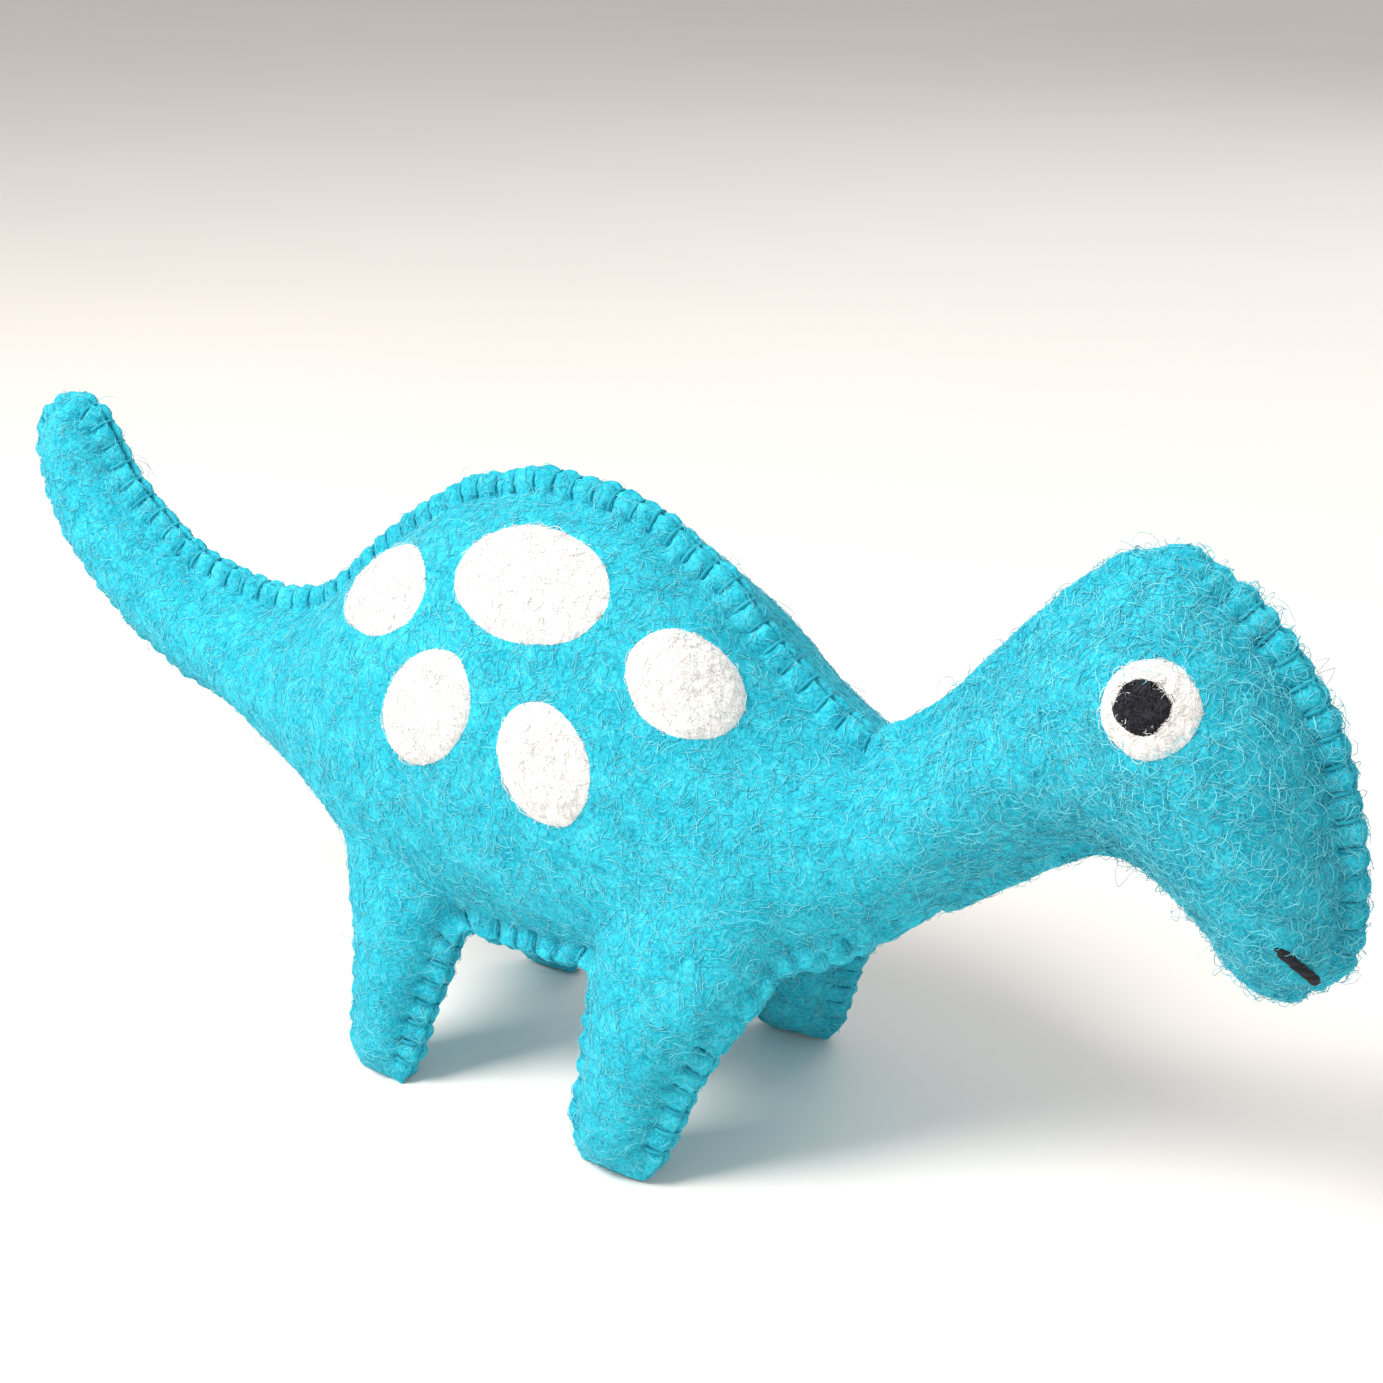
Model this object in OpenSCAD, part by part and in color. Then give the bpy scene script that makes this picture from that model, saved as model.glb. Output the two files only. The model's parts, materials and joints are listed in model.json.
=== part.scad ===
// Stuffed felt dinosaur: two side panels and an underside gusset, sewn edge to edge,
// filled with firm wads, with felted spots, eyes and a stitched mouth.
// Millimetres, +Z up, facing +X. The origin is on the table, under the middle of the toy.

/* [Overall size] */
// Length from the back of the tail to the front of the snout
toy_length = 218; // [174:1:262]
// Height of the crown above the table
toy_height = 93; // [75:1:112]
// Width of the belly at its widest
belly_width = 47; // [38:1:56]
// Width of the cheeks
head_width = 30; // [24:1:36]
// Width of the tail near its tip
tail_width = 13; // [11:1:18]

/* [Legs] */
// Distance from the table's middle line to the middle of each foot
foot_stand_off = 22; // [20:0.5:26]
// Sideways lean of each leg, in mm for each mm of height
leg_splay = 0.2; // [0.1:0.02:0.28]
// How much wider the toy stands in front, in mm for each mm of its length
stance_taper = 0.07; // [0:0.01:0.1]
// Front foot, along the toy, over its seams
front_foot = 16; // [13:0.2:19.2]
// Rear foot, along the toy, over its seams
rear_foot = 12.8; // [10.6:0.2:15.4]

/* [Felt and seams] */
// Thickness of the wool felt
felt_thickness = 2.2; // [1.8:0.1:2.6]
// Gap between separate pieces
piece_gap = 0.3; // [0.2:0.05:0.5]
// Height of the pinched lips above the back and the head
lip_height = 3.3; // [2.7:0.1:3.9]
// Height of the pinched lips on the legs and the belly
leg_lip_height = 2.6; // [2.1:0.1:3.1]
// Distance from one stitch to the next
stitch_pitch = 3.3; // [2.7:0.1:4.2]
// Thickness of the sewing thread
thread_thickness = 0.9; // [0.6:0.1:1.1]

/* [Spots] */
// Thickness of the felted spots
spot_thickness = 1.3; // [1:0.1:1.8]
// Size of all the spots, against their usual size
spot_size = 1; // [0.8:0.05:1.1]

/* [Face] */
// Eye disc across
eye_across = 12; // [10:0.2:14.4]
// Pupil across
pupil_across = 6.6; // [5:0.2:8]
// Thickness of the mouth yarn
mouth_thickness = 2; // [1.4:0.1:2.4]

/* [Hidden] */

// The shape was drawn at this size; the overall sizes stretch it.
drawn_length = 218;
drawn_height = 93;
drawn_belly = 47;
drawn_head = 30;
drawn_tail = 13;
long = toy_length / drawn_length;
tall = toy_height / drawn_height;
wide = belly_width / drawn_belly;
cheek = head_width / drawn_head;
slim = tail_width / drawn_tail;

// Slices from tail tip to chin: upper seam x z, lower seam x z, half width, gusset half width
// and which width scale the slice follows (0 tail, 1 body, 2 head).
slices = [
    [-95, 84.2, -99, 83.8, 3, 0, 0],
    [-91.8, 82.6, -103, 80.8, 5.2, 0, 0],
    [-89.5, 79.4, -104.3, 76.4, 6.2, 0, 0],
    [-86.8, 74.7, -103.6, 70, 6.8, 0, 0],
    [-83, 70.5, -100.3, 63.2, 7.3, 0, 0],
    [-77.5, 66.3, -94.3, 56.5, 7.8, 0, 0],
    [-70.8, 63, -85.8, 50, 8.4, 0, 0],
    [-63, 61, -76.2, 45, 9.3, 0, 0],
    [-55, 60.3, -65.5, 42.5, 10.8, 0, 0],
    [-47, 61.8, -56.5, 39.5, 13, 0, 1],
    [-41.5, 65.5, -47.5, 38, 15.5, 4.5, 1],
    [-36.2, 70.5, -39.5, 34, 18, 9, 1],
    [-28.8, 76.5, -32, 28.5, 20.5, 14.5, 1],
    [-19, 82.8, -23, 24, 22.5, 16, 1],
    [-6.5, 86.2, -8, 22, 23.5, 16, 1],
    [5, 85.6, 6, 21.5, 23.5, 16, 1],
    [14.5, 82.5, 19.5, 22.2, 23, 16, 1],
    [23.5, 77, 31, 24.5, 22, 16, 1],
    [31, 69, 41, 29, 20, 14.5, 1],
    [38.3, 63.3, 49.5, 35, 17.3, 10, 1],
    [45.8, 59.3, 58, 41.3, 14.5, 0, 1],
    [52.5, 62.6, 65.6, 46.6, 12.8, 0, 2],
    [58, 67.1, 71.3, 50.8, 12.4, 0, 2],
    [65.2, 75.2, 77, 54, 12.6, 0, 2],
    [72.5, 83.2, 81.5, 54.5, 13.4, 0, 2],
    [79, 88.6, 85.5, 53.3, 14.4, 0, 2],
    [86, 90.6, 89, 50.8, 15, 0, 2],
    [92.8, 87.6, 91.9, 48.8, 15, 0, 2],
    [98.5, 82.6, 94, 46.7, 14.5, 0, 2],
    [103.5, 76, 95.6, 44.7, 13.6, 0, 2],
    [106.5, 69, 97, 43.1, 12.5, 0, 2],
    [108.5, 61.5, 98.6, 41.9, 11.3, 0, 2],
    [109.6, 54.5, 101, 41.2, 9.5, 0, 2],
    [109.6, 49.5, 103.8, 41.6, 7, 0, 2],
    [108.6, 46, 106.3, 43.6, 3.5, 0, 2]
];

// Leg rings from the sole up: height, middle along the toy, half length, half width.
front_leg = [
    [2.4, 21.3, 4.2, 3.6],
    [4, 21.3, 5.7, 5.1],
    [6.5, 21.4, 6.4, 6],
    [10, 22.2, 6.7, 6.4],
    [15, 23.3, 7.5, 6.9],
    [21, 25.1, 9, 7.6],
    [27, 27.2, 10.9, 8],
    [34, 28, 13, 7.2],
    [42, 28, 13, 6.5],
    [50, 27, 11, 5]
];
rear_leg = [
    [2.4, -21.8, 3.3, 3.1],
    [4, -21.8, 4.4, 4.2],
    [6.5, -21.7, 4.9, 4.9],
    [10, -21.4, 5.2, 5.4],
    [15, -20.8, 6.3, 6.2],
    [21, -20.2, 7.6, 7.2],
    [27, -20, 9.4, 7.6],
    [34, -20, 11.3, 7.2],
    [42, -20, 12.5, 6.5],
    [50, -20, 11, 5]
];
front_foot_drawn = 16;
rear_foot_drawn = 12.8;
// The rings up to this one stand clear of the belly and carry a seam on both edges.
free_rings = 5;
flare_ring = 6;

// Roundness of a slice: above the widest line, and below it with and without the gusset.
pinch = 1.06;
belly_round = 0.75;
// Height of the widest line, as a part of the slice, for tail, body and head.
widest_at = [0.5, 0.38, 0.5];
width_scale = [slim, wide, cheek];
// The pinched lips are a full-thickness step with a half-thickness one above it, inside a round bead.
lip_step_half = felt_thickness;
lip_step_up = 0.2 * felt_thickness;
lip_top_half = 0.5 * felt_thickness;
lip_top_up = 0.86 * felt_thickness;
// The middle of that bead stands this far above the body, along the back and on the legs.
bead_rise = lip_height - lip_top_up;
leg_bead_rise = leg_lip_height - lip_top_up;
slice_points = 24;
leg_points = 18;
disc_half = 0.1;
smallest = 0.5;
RIGHT = -1;
LEFT = 1;

last = len(slices) - 1;
gusset_first = 9;
gusset_last = 20;
belly_first = 14;
reach = [for (s = slices) each [s[0], s[2]]];
middle_x = (min(reach) + max(reach)) / 2;

// The gusset's edge leans with the legs up to the belly, then closes quickly inside the body.
belly_level = 25 * tall;
belly_closing = 0.7;
gusset_top = 46 * tall;
far = 300;

function place_x(x) = (x - middle_x) * long;
function top(i) = [place_x(slices[i][0]), slices[i][1] * tall];
function low(i) = [place_x(slices[i][2]), slices[i][3] * tall];
function span(i) = norm(top(i) - low(i));
function up(i) = (top(i) - low(i)) / span(i);
function kind(i) = slices[i][6];
function half_width(i) = slices[i][4] * width_scale[kind(i)];
function gusset_half(i) = slices[i][5] * wide;
function has_gusset(i) = slices[i][5] > 0;
function widest(i) = low(i) + up(i) * span(i) * widest_at[kind(i)];
function rise(i) = span(i) * (1 - widest_at[kind(i)]) - bead_rise;
function drop(i) = span(i) * widest_at[kind(i)] - (has_gusset(i) ? 0 : bead_rise);
function low_power(i) = has_gusset(i) ? belly_round : pinch;
// Distance of the legs' and belly's seam from the middle plane, at height z and place x.
function lean(z) = z < belly_level
    ? foot_stand_off - leg_splay * z
    : foot_stand_off - leg_splay * belly_level - belly_closing * (z - belly_level);
function seam_y(z, x) = lean(z) + stance_taper * x;
function at_xz(p, y) = [p[0], y, p[1]];

// Points of one slice, across and along its own up direction.
function slice_outline(i, grow) = [
    for (k = [0 : slice_points - 1])
        let (
            t = 360 * k / slice_points,
            power = cos(t) > 0 ? pinch : low_power(i),
            length = max(smallest, (cos(t) > 0 ? rise(i) : drop(i)) + grow),
            width = max(smallest, half_width(i) + grow)
        )
        [width * sign(sin(t)) * pow(abs(sin(t)), power), length * cos(t)]
];

// The same points in place.
function slice_ring(i, grow) =
    let (u = up(i), c = widest(i))
    [for (p = slice_outline(i, grow)) [c[0] + u[0] * p[1], p[0], c[1] + u[1] * p[1]]];

// Each ring is a thin disc, so that neighbouring pieces share a solid strip.
function slice_axis(i) = let (u = up(i)) [u[1], 0, -u[0]];
function disc(ring, axis) = concat(
    [for (p = ring) p - axis * disc_half],
    [for (p = ring) p + axis * disc_half]
);

// The solid between two discs of equally many points.
module between(disc_a, disc_b) {
    count = len(disc_a);
    hull()
        polyhedron(
            concat(disc_a, disc_b),
            [[for (k = [0 : count - 1]) k], [for (k = [count - 1 : -1 : 0]) count + k]]
        );
}

module body_form(grow, first = 0, final = last) {
    for (i = [first : final - 1])
        between(
            disc(slice_ring(i, grow), slice_axis(i)),
            disc(slice_ring(i + 1, grow), slice_axis(i + 1))
        );
}

function leg_scale(leg) = leg[0][1] > 0 ? front_foot / front_foot_drawn : rear_foot / rear_foot_drawn;
// The sole ring swells half as much as the others, which keeps the sole's edge round.
function ring_grow(k, grow) = k == 0 && grow > 0 ? grow / 2 : grow;
function ring_z(leg, k, grow) = grow > 0 && k == 0
    ? leg[0][0] * tall - grow
    : max(leg[k][0] * tall, leg[0][0] * tall - grow);
function ring_at(leg, k) = place_x(leg[k][1]);
function ring_length(leg, k, grow) = max(smallest, leg[k][2] * leg_scale(leg) + ring_grow(k, grow));
function ring_width(leg, k, grow) = max(smallest, leg[k][3] * leg_scale(leg) + ring_grow(k, grow));

function leg_ring(leg, side, k, grow) =
    let (
        z = ring_z(leg, k, grow),
        y = foot_stand_off - leg_splay * z + stance_taper * ring_at(leg, k),
        length = ring_length(leg, k, grow),
        width = ring_width(leg, k, grow)
    )
    [
        for (n = [0 : leg_points - 1])
            let (t = 360 * n / leg_points)
            [ring_at(leg, k) + length * cos(t), side * (y + width * sin(t)), z]
    ];

module leg_form(leg, side, grow) {
    for (k = [0 : len(leg) - 2])
        if (ring_z(leg, k + 1, grow) > ring_z(leg, k, grow))
            between(
                disc(leg_ring(leg, side, k, grow), [0, 0, 1]),
                disc(leg_ring(leg, side, k + 1, grow), [0, 0, 1])
            );
}

module whole_form(grow) {
    body_form(grow);
    for (side = [RIGHT, LEFT]) {
        leg_form(front_leg, side, grow);
        leg_form(rear_leg, side, grow);
    }
}

module hollow_form() {
    body_form(-felt_thickness, 1, last - 1);
    for (side = [RIGHT, LEFT]) {
        leg_form(front_leg, side, -felt_thickness);
        leg_form(rear_leg, side, -felt_thickness);
    }
}

// Middle-plane seam: one closed loop of points, round the back and under the throat and tail.
function loop_point(n) = n <= last ? top(n) : low(2 * last + 1 - n);
function loop_slice(n) = n <= last ? n : 2 * last + 1 - n;
loop_count = 2 * last + 2;
function loop_normal(n) =
    let (
        ahead = loop_point((n + 1) % loop_count),
        back = loop_point((n + loop_count - 1) % loop_count),
        run = (ahead - back) / norm(ahead - back)
    )
    [-run[1], run[0]];
function sewn_in_middle(n) = n <= last || !has_gusset(loop_slice(n));

module middle_plate(grow, thickness) {
    outline = [
        for (n = [0 : loop_count - 1])
            loop_point(n) + loop_normal(n) * (sewn_in_middle(n) ? grow : -felt_thickness / 2)
    ];
    rotate([90, 0, 0])
        linear_extrude(thickness, center = true)
            polygon(outline);
}

// Point of the lower half of slice i, at the distance y from the middle plane.
function low_point(i, y) =
    let (
        s = pow(min(1, y / half_width(i)), 1 / low_power(i)),
        p = widest(i) - up(i) * drop(i) * sqrt(1 - s * s)
    )
    [p[0], y, p[1]];
// The same point at the gusset's edge, and on the belly, where the legs' seam plane is that edge.
function under_point(i) = low_point(i, gusset_half(i));
function belly_point(i) = let (p = under_point(i)) low_point(i, seam_y(p[2], p[0]));

// Half of the gusset's outline seen from below, from its rear tip to its front tip.
// Beside the legs it stands clear, because the legs' own seam plane is the edge there.
plan_clear = 3;
tip_part = 0.8;
// The cut starts a little below the level where the seam bends, so that the two never share a plane.
plan_level = belly_level - plan_clear / 3;

function gusset_plan(grow) =
    let (
        rear = ring_at(rear_leg, 5) - ring_length(rear_leg, 5, 3),
        front = ring_at(front_leg, flare_ring) + ring_length(front_leg, flare_ring, 0),
        tip_grow = max(0, grow) * tip_part,
        tip_half = max(smallest / 2, grow * tip_part)
    )
    [
        [under_point(gusset_first)[0] - tip_grow, tip_half],
        for (i = [gusset_first + 1 : gusset_first + 2])
            [under_point(i)[0], max(smallest / 2, gusset_half(i) + grow)],
        [rear + plan_clear, seam_y(belly_level, rear) + plan_clear + grow],
        [front - plan_clear, seam_y(belly_level, front) + plan_clear + grow],
        [under_point(gusset_last - 1)[0], max(smallest / 2, gusset_half(gusset_last - 1) + grow)],
        [under_point(gusset_last)[0] + tip_grow, tip_half]
    ];

// What lies outside that outline, on one side, above plan_level.
module beyond_plan(grow) {
    plan = gusset_plan(grow);
    ends = len(plan) - 1;
    translate([0, 0, plan_level])
        linear_extrude(far)
            polygon(concat(
                [[-far, -1], [plan[0][0], -1]],
                plan,
                [[plan[ends][0], -1], [far, -1], [far, far], [-far, far]]
            ));
}

// A half outline across the toy, drawn out along it and following the stance taper.
module along_toy(outline) {
    multmatrix([[1, 0, 0, 0], [stance_taper, 1, 0, 0], [0, 0, 1, 0], [0, 0, 0, 1]])
        rotate([90, 0, 90])
            linear_extrude(far, center = true)
                polygon(outline);
}

// Everything on one side that belongs to the gusset: between the legs' seams and under the belly.
module gusset_half_zone(grow) {
    floor_level = -far / 10;
    difference() {
        along_toy([
            [-far / 10, floor_level],
            [lean(floor_level) + grow, floor_level],
            [lean(belly_level) + grow, belly_level],
            [lean(gusset_top) + grow, gusset_top],
            [-far / 10, gusset_top]
        ]);
        beyond_plan(grow);
    }
}

module half_space(side) {
    translate([0, side * far / 2, 0])
        cube([2 * far, far, far], center = true);
}

module gusset_zone(grow) {
    for (side = [RIGHT, LEFT])
        intersection() {
            scale([1, side, 1])
                gusset_half_zone(grow);
            half_space(side);
        }
}

module lips() {
    middle_plate(lip_step_up, 2 * lip_step_half);
    middle_plate(lip_top_up, 2 * lip_top_half);
    gusset_lip(leg_bead_rise + lip_step_up, lip_step_half);
    gusset_lip(leg_lip_height, lip_top_half);
}

module gusset_lip(height, half) {
    intersection() {
        whole_form(height);
        difference() {
            gusset_zone(half);
            gusset_zone(-half);
        }
    }
}

module below_table() {
    translate([0, 0, -far / 2])
        cube([far, far, far], center = true);
}

module all_felt() {
    difference() {
        union() {
            whole_form(0);
            lips();
        }
        hollow_form();
        below_table();
    }
}

module side_panel(side) {
    difference() {
        all_felt();
        gusset_zone(piece_gap / 2);
        translate([0, side * piece_gap / 2, 0])
            half_space(-side);
    }
}

module side_panel_right() {
    color("#47cbdf")
        side_panel(RIGHT);
}

module side_panel_left() {
    color("#47cbdf")
        side_panel(LEFT);
}

module underside_gusset() {
    color("#3cb9cc")
        intersection() {
            all_felt();
            gusset_zone(-piece_gap / 2);
        }
}

// Firm wads of filling. Each stops piece_gap short of the felt and of its neighbours.
wad_grow = -felt_thickness - piece_gap;
tail_wad_end = 9;
body_wad_end = 20;

module slice_gap(i) {
    push = slice_axis(i) * (piece_gap + disc_half);
    ring = slice_ring(i, 0);
    between([for (p = ring) p - push], [for (p = ring) p + push]);
}

module stuffing_tail() {
    color("#f1efe8")
        difference() {
            body_form(wad_grow, 1, tail_wad_end);
            slice_gap(tail_wad_end);
        }
}

module stuffing_body() {
    color("#f1efe8")
        body_form(wad_grow, tail_wad_end, body_wad_end);
}

module stuffing_neck_and_head() {
    color("#f1efe8")
        difference() {
            body_form(wad_grow, body_wad_end, last - 1);
            slice_gap(body_wad_end);
        }
}

module leg_wad(leg, side) {
    color("#f1efe8")
        difference() {
            leg_form(leg, side, wad_grow);
            body_form(wad_grow + piece_gap, tail_wad_end, body_wad_end);
        }
}

module stuffing_leg_front_right() {
    leg_wad(front_leg, RIGHT);
}

module stuffing_leg_front_left() {
    leg_wad(front_leg, LEFT);
}

module stuffing_leg_rear_right() {
    leg_wad(rear_leg, RIGHT);
}

module stuffing_leg_rear_left() {
    leg_wad(rear_leg, LEFT);
}

// A felted patch lies on the felt, cut out along its own axis.
// Patch: place x y z on the right side, half length, half width, turn, heading, tilt up.
rump_patch = [-27, 13, 71, 9.8, 6.9, 0, -27, 38];
hump_patch = [-1.5, 13, 76, 12.3, 8.2, -9, 5, 41];
hip_patch = [-13, 21.5, 59, 8.9, 6.8, 44, -4, 14];
flank_patch = [7, 22, 55.5, 8.4, 6.8, 113, 3, 10];
shoulder_patch = [23, 13, 67, 8.3, 6.8, 140, 40, 38];
// The left shoulder's spot was felted lower down.
left_shoulder_patch = [23.5, 21.5, 50, 8.3, 6.8, 140, 8, 5];
eye_centre = [85.8, 13.5, 77.3];
eye_heading = 6;
eye_tilt = 22;
pupil_forward = -0.6;
patch_reach = 7;

module patch_prism(patch, side) {
    translate([patch[0] * long, side * patch[1] * wide, patch[2] * tall])
        rotate([side == RIGHT ? 90 - patch[7] : patch[7] - 90, 0, -side * patch[6]])
            rotate(side == RIGHT ? patch[5] : -patch[5])
                scale([patch[3] * spot_size, patch[4] * spot_size, 1])
                    cylinder(r = 1, h = 2 * patch_reach, center = true, $fn = 40);
}

module spot(patch, side) {
    color("#fbfaf5")
        intersection() {
            difference() {
                body_form(piece_gap + spot_thickness, gusset_first, gusset_last);
                body_form(piece_gap, gusset_first, gusset_last);
            }
            patch_prism(patch, side);
        }
}

module spot_rump_right() {
    spot(rump_patch, RIGHT);
}

module spot_hump_right() {
    spot(hump_patch, RIGHT);
}

module spot_hip_right() {
    spot(hip_patch, RIGHT);
}

module spot_flank_right() {
    spot(flank_patch, RIGHT);
}

module spot_shoulder_right() {
    spot(shoulder_patch, RIGHT);
}

module spot_rump_left() {
    spot(rump_patch, LEFT);
}

module spot_hump_left() {
    spot(hump_patch, LEFT);
}

module spot_hip_left() {
    spot(hip_patch, LEFT);
}

module spot_flank_left() {
    spot(flank_patch, LEFT);
}

module spot_shoulder_left() {
    spot(left_shoulder_patch, LEFT);
}

// Eye: a felted disc on the cheek with a smaller dark disc on it.
eye_disc_thickness = 1.4;
pupil_thickness = 0.9;
head_first = 20;

module eye_layer(side, across, inner, outer, forward) {
    intersection() {
        difference() {
            body_form(outer, head_first, last);
            body_form(inner, head_first, last);
        }
        translate([(eye_centre[0] + forward) * long, side * eye_centre[1] * cheek, eye_centre[2] * tall])
            rotate([side == RIGHT ? 90 - eye_tilt : eye_tilt - 90, 0, -side * eye_heading])
                cylinder(d = across, h = 2 * patch_reach, center = true, $fn = 48);
    }
}

module eye_white(side) {
    color("#f6f5f0")
        eye_layer(side, eye_across, piece_gap, piece_gap + eye_disc_thickness, 0);
}

module pupil(side) {
    inner = 2 * piece_gap + eye_disc_thickness;
    color("#34333a")
        eye_layer(side, pupil_across, inner, inner + pupil_thickness, pupil_forward);
}

module eye_white_right() {
    eye_white(RIGHT);
}

module eye_white_left() {
    eye_white(LEFT);
}

module pupil_right() {
    pupil(RIGHT);
}

module pupil_left() {
    pupil(LEFT);
}

// Mouth: one long stitch of thick yarn on each side, from the cheek to the seam under the snout.
mouth_points = [
    [102.6, 11.5, 50],
    [104.1, 10.1, 48.9],
    [105.1, 8.3, 47.4],
    [105.3, 6, 45.8],
    [104.9, 3.8, 44.3]
];

module mouth_yarn() {
    color("#2e3136")
        for (side = [RIGHT, LEFT], k = [0 : len(mouth_points) - 2])
            hull() {
                mouth_bead(mouth_points[k], side);
                mouth_bead(mouth_points[k + 1], side);
            }
}

module mouth_bead(p, side) {
    translate([p[0] * long, side * p[1] * cheek, p[2] * tall])
        sphere(d = mouth_thickness, $fn = 14);
}

// Seams: each stitch is a half ring over the pinched lips, both ends stopping at the felt.
stitch_radius = felt_thickness + piece_gap + thread_thickness / 2;
stitch_sweep = 180;

// Rows of x y z and the outward direction, at the middle of the bead.
function loop_row(n) =
    let (p = loop_point(n), d = loop_normal(n))
    [p[0], 0, p[1], d[0], 0, d[1]];
function rows_length(rows, k) = k == 0 ? 0
    : rows_length(rows, k - 1) + norm([for (c = [0 : 2]) rows[k][c] - rows[k - 1][c]]);
function along(table, s) = [for (c = [1 : 6]) lookup(s, [for (row = table) [row[0], row[c]]])];
function unit(v) = v / norm(v);

module stitches(rows, clear = 0) {
    table = [for (k = [0 : len(rows) - 1]) concat([rows_length(rows, k)], rows[k])];
    total = table[len(rows) - 1][0];
    count = floor(total / stitch_pitch);
    step = total / count;
    for (n = [0 : count - 1]) {
        s = (n + 0.5) * step;
        here = along(table, s);
        before = along(table, max(0, s - step / 2));
        after = along(table, min(total, s + step / 2));
        run = unit([for (c = [0 : 2]) after[c] - before[c]]);
        raw = [here[3], here[4], here[5]];
        out = unit(raw - run * (raw * run));
        side = cross(out, run);
        if (here[2] + out[2] * stitch_radius > thread_thickness && abs(here[1]) >= clear)
            multmatrix([
                [side[0], out[0], run[0], here[0]],
                [side[1], out[1], run[1], here[1]],
                [side[2], out[2], run[2], here[2]],
                [0, 0, 0, 1]
            ])
                rotate_extrude(angle = stitch_sweep, $fn = 32)
                    translate([stitch_radius, 0])
                        circle(d = thread_thickness, $fn = 14);
    }
}

module thread_back_and_face() {
    color("#37b4c8")
        stitches([for (n = [0 : last]) loop_row(n)]);
}

module thread_throat() {
    color("#37b4c8")
        stitches([for (n = [last + 1 : loop_count - 1 - gusset_last]) loop_row(n)]);
}

module thread_under_tail() {
    color("#37b4c8")
        stitches([for (n = [loop_count - 1 - gusset_first : loop_count - 1]) loop_row(n)]);
}

// The underside seam, on the left: rump, rear leg, belly, front leg, chest.
// Its stitches stop short of the middle plane at both tips, where the two sides meet.
function under_row(i, p) =
    let (sideways = has_gusset(i) ? [0, 0.6, 0] : [0, 0, 0], d = unit(sideways - at_xz(up(i), 0)))
    [each (p + d * (has_gusset(i) ? leg_bead_rise : 0)), each d];
function leg_row(leg, k, edge) =
    let (
        x = ring_at(leg, k) + edge * (ring_length(leg, k, 0) + leg_bead_rise),
        z = ring_z(leg, k, 0),
        slope = k < 2 ? -1 : 0
    )
    [x, seam_y(z, x), z + slope * leg_bead_rise / 2, edge, 0, slope];
function sole_row(leg) =
    let (x = ring_at(leg, 0), z = leg[0][0] * tall - leg_bead_rise)
    [x, seam_y(z, x), z, 0, 0, -1];

under_rows = concat(
    [for (i = [gusset_first : gusset_first + 2]) under_row(i, under_point(i))],
    [for (k = [flare_ring : -1 : 0]) leg_row(rear_leg, k, -1)],
    [sole_row(rear_leg)],
    [for (k = [0 : free_rings]) leg_row(rear_leg, k, 1)],
    [for (i = [belly_first : belly_first + 1]) under_row(i, belly_point(i))],
    [for (k = [free_rings : -1 : 0]) leg_row(front_leg, k, -1)],
    [sole_row(front_leg)],
    [for (k = [0 : flare_ring]) leg_row(front_leg, k, 1)],
    [for (i = [gusset_last - 1 : gusset_last]) under_row(i, under_point(i))]
);

module thread_underside_right() {
    color("#37b4c8")
        stitches([for (r = under_rows) [r[0], -r[1], r[2], r[3], -r[4], r[5]]], stitch_radius);
}

module thread_underside_left() {
    color("#37b4c8")
        stitches(under_rows, stitch_radius);
}

side_panel_right();
side_panel_left();
underside_gusset();
stuffing_tail();
stuffing_body();
stuffing_neck_and_head();
stuffing_leg_front_right();
stuffing_leg_front_left();
stuffing_leg_rear_right();
stuffing_leg_rear_left();
spot_rump_right();
spot_hump_right();
spot_hip_right();
spot_flank_right();
spot_shoulder_right();
spot_rump_left();
spot_hump_left();
spot_hip_left();
spot_flank_left();
spot_shoulder_left();
eye_white_right();
eye_white_left();
pupil_right();
pupil_left();
mouth_yarn();
thread_back_and_face();
thread_throat();
thread_under_tail();
thread_underside_right();
thread_underside_left();
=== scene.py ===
"""Stuffed wool-felt dinosaur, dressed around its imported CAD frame.

Two turquoise side panels and an underside gusset are sewn edge to edge with a whip stitch, stuffed
firmly, and finished with needle-felted spots, eyes and a mouth of black yarn.
"""

from __future__ import annotations

import json
import logging
import math
from dataclasses import dataclass, field
from enum import Enum

import bmesh
import bpy
import numpy as np
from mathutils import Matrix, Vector, noise
from mathutils.bvhtree import BVHTree

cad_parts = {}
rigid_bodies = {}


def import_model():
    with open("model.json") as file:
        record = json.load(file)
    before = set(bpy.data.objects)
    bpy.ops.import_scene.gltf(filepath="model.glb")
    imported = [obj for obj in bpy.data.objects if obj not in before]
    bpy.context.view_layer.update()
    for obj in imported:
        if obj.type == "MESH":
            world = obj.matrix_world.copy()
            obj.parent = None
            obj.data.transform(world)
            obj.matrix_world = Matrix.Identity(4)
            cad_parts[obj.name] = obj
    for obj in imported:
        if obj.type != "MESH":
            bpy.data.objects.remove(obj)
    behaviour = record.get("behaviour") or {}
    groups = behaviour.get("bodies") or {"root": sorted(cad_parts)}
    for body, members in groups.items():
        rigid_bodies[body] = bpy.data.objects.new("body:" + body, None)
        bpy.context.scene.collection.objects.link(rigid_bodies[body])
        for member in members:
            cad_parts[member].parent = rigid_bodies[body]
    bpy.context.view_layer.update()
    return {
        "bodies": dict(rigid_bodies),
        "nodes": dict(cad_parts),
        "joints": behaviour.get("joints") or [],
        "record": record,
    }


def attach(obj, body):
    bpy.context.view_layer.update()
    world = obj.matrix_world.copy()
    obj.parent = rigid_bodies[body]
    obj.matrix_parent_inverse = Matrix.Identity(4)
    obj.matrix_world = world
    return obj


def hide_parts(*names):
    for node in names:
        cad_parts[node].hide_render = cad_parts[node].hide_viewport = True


LOG = logging.getLogger("dinosaur")
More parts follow.
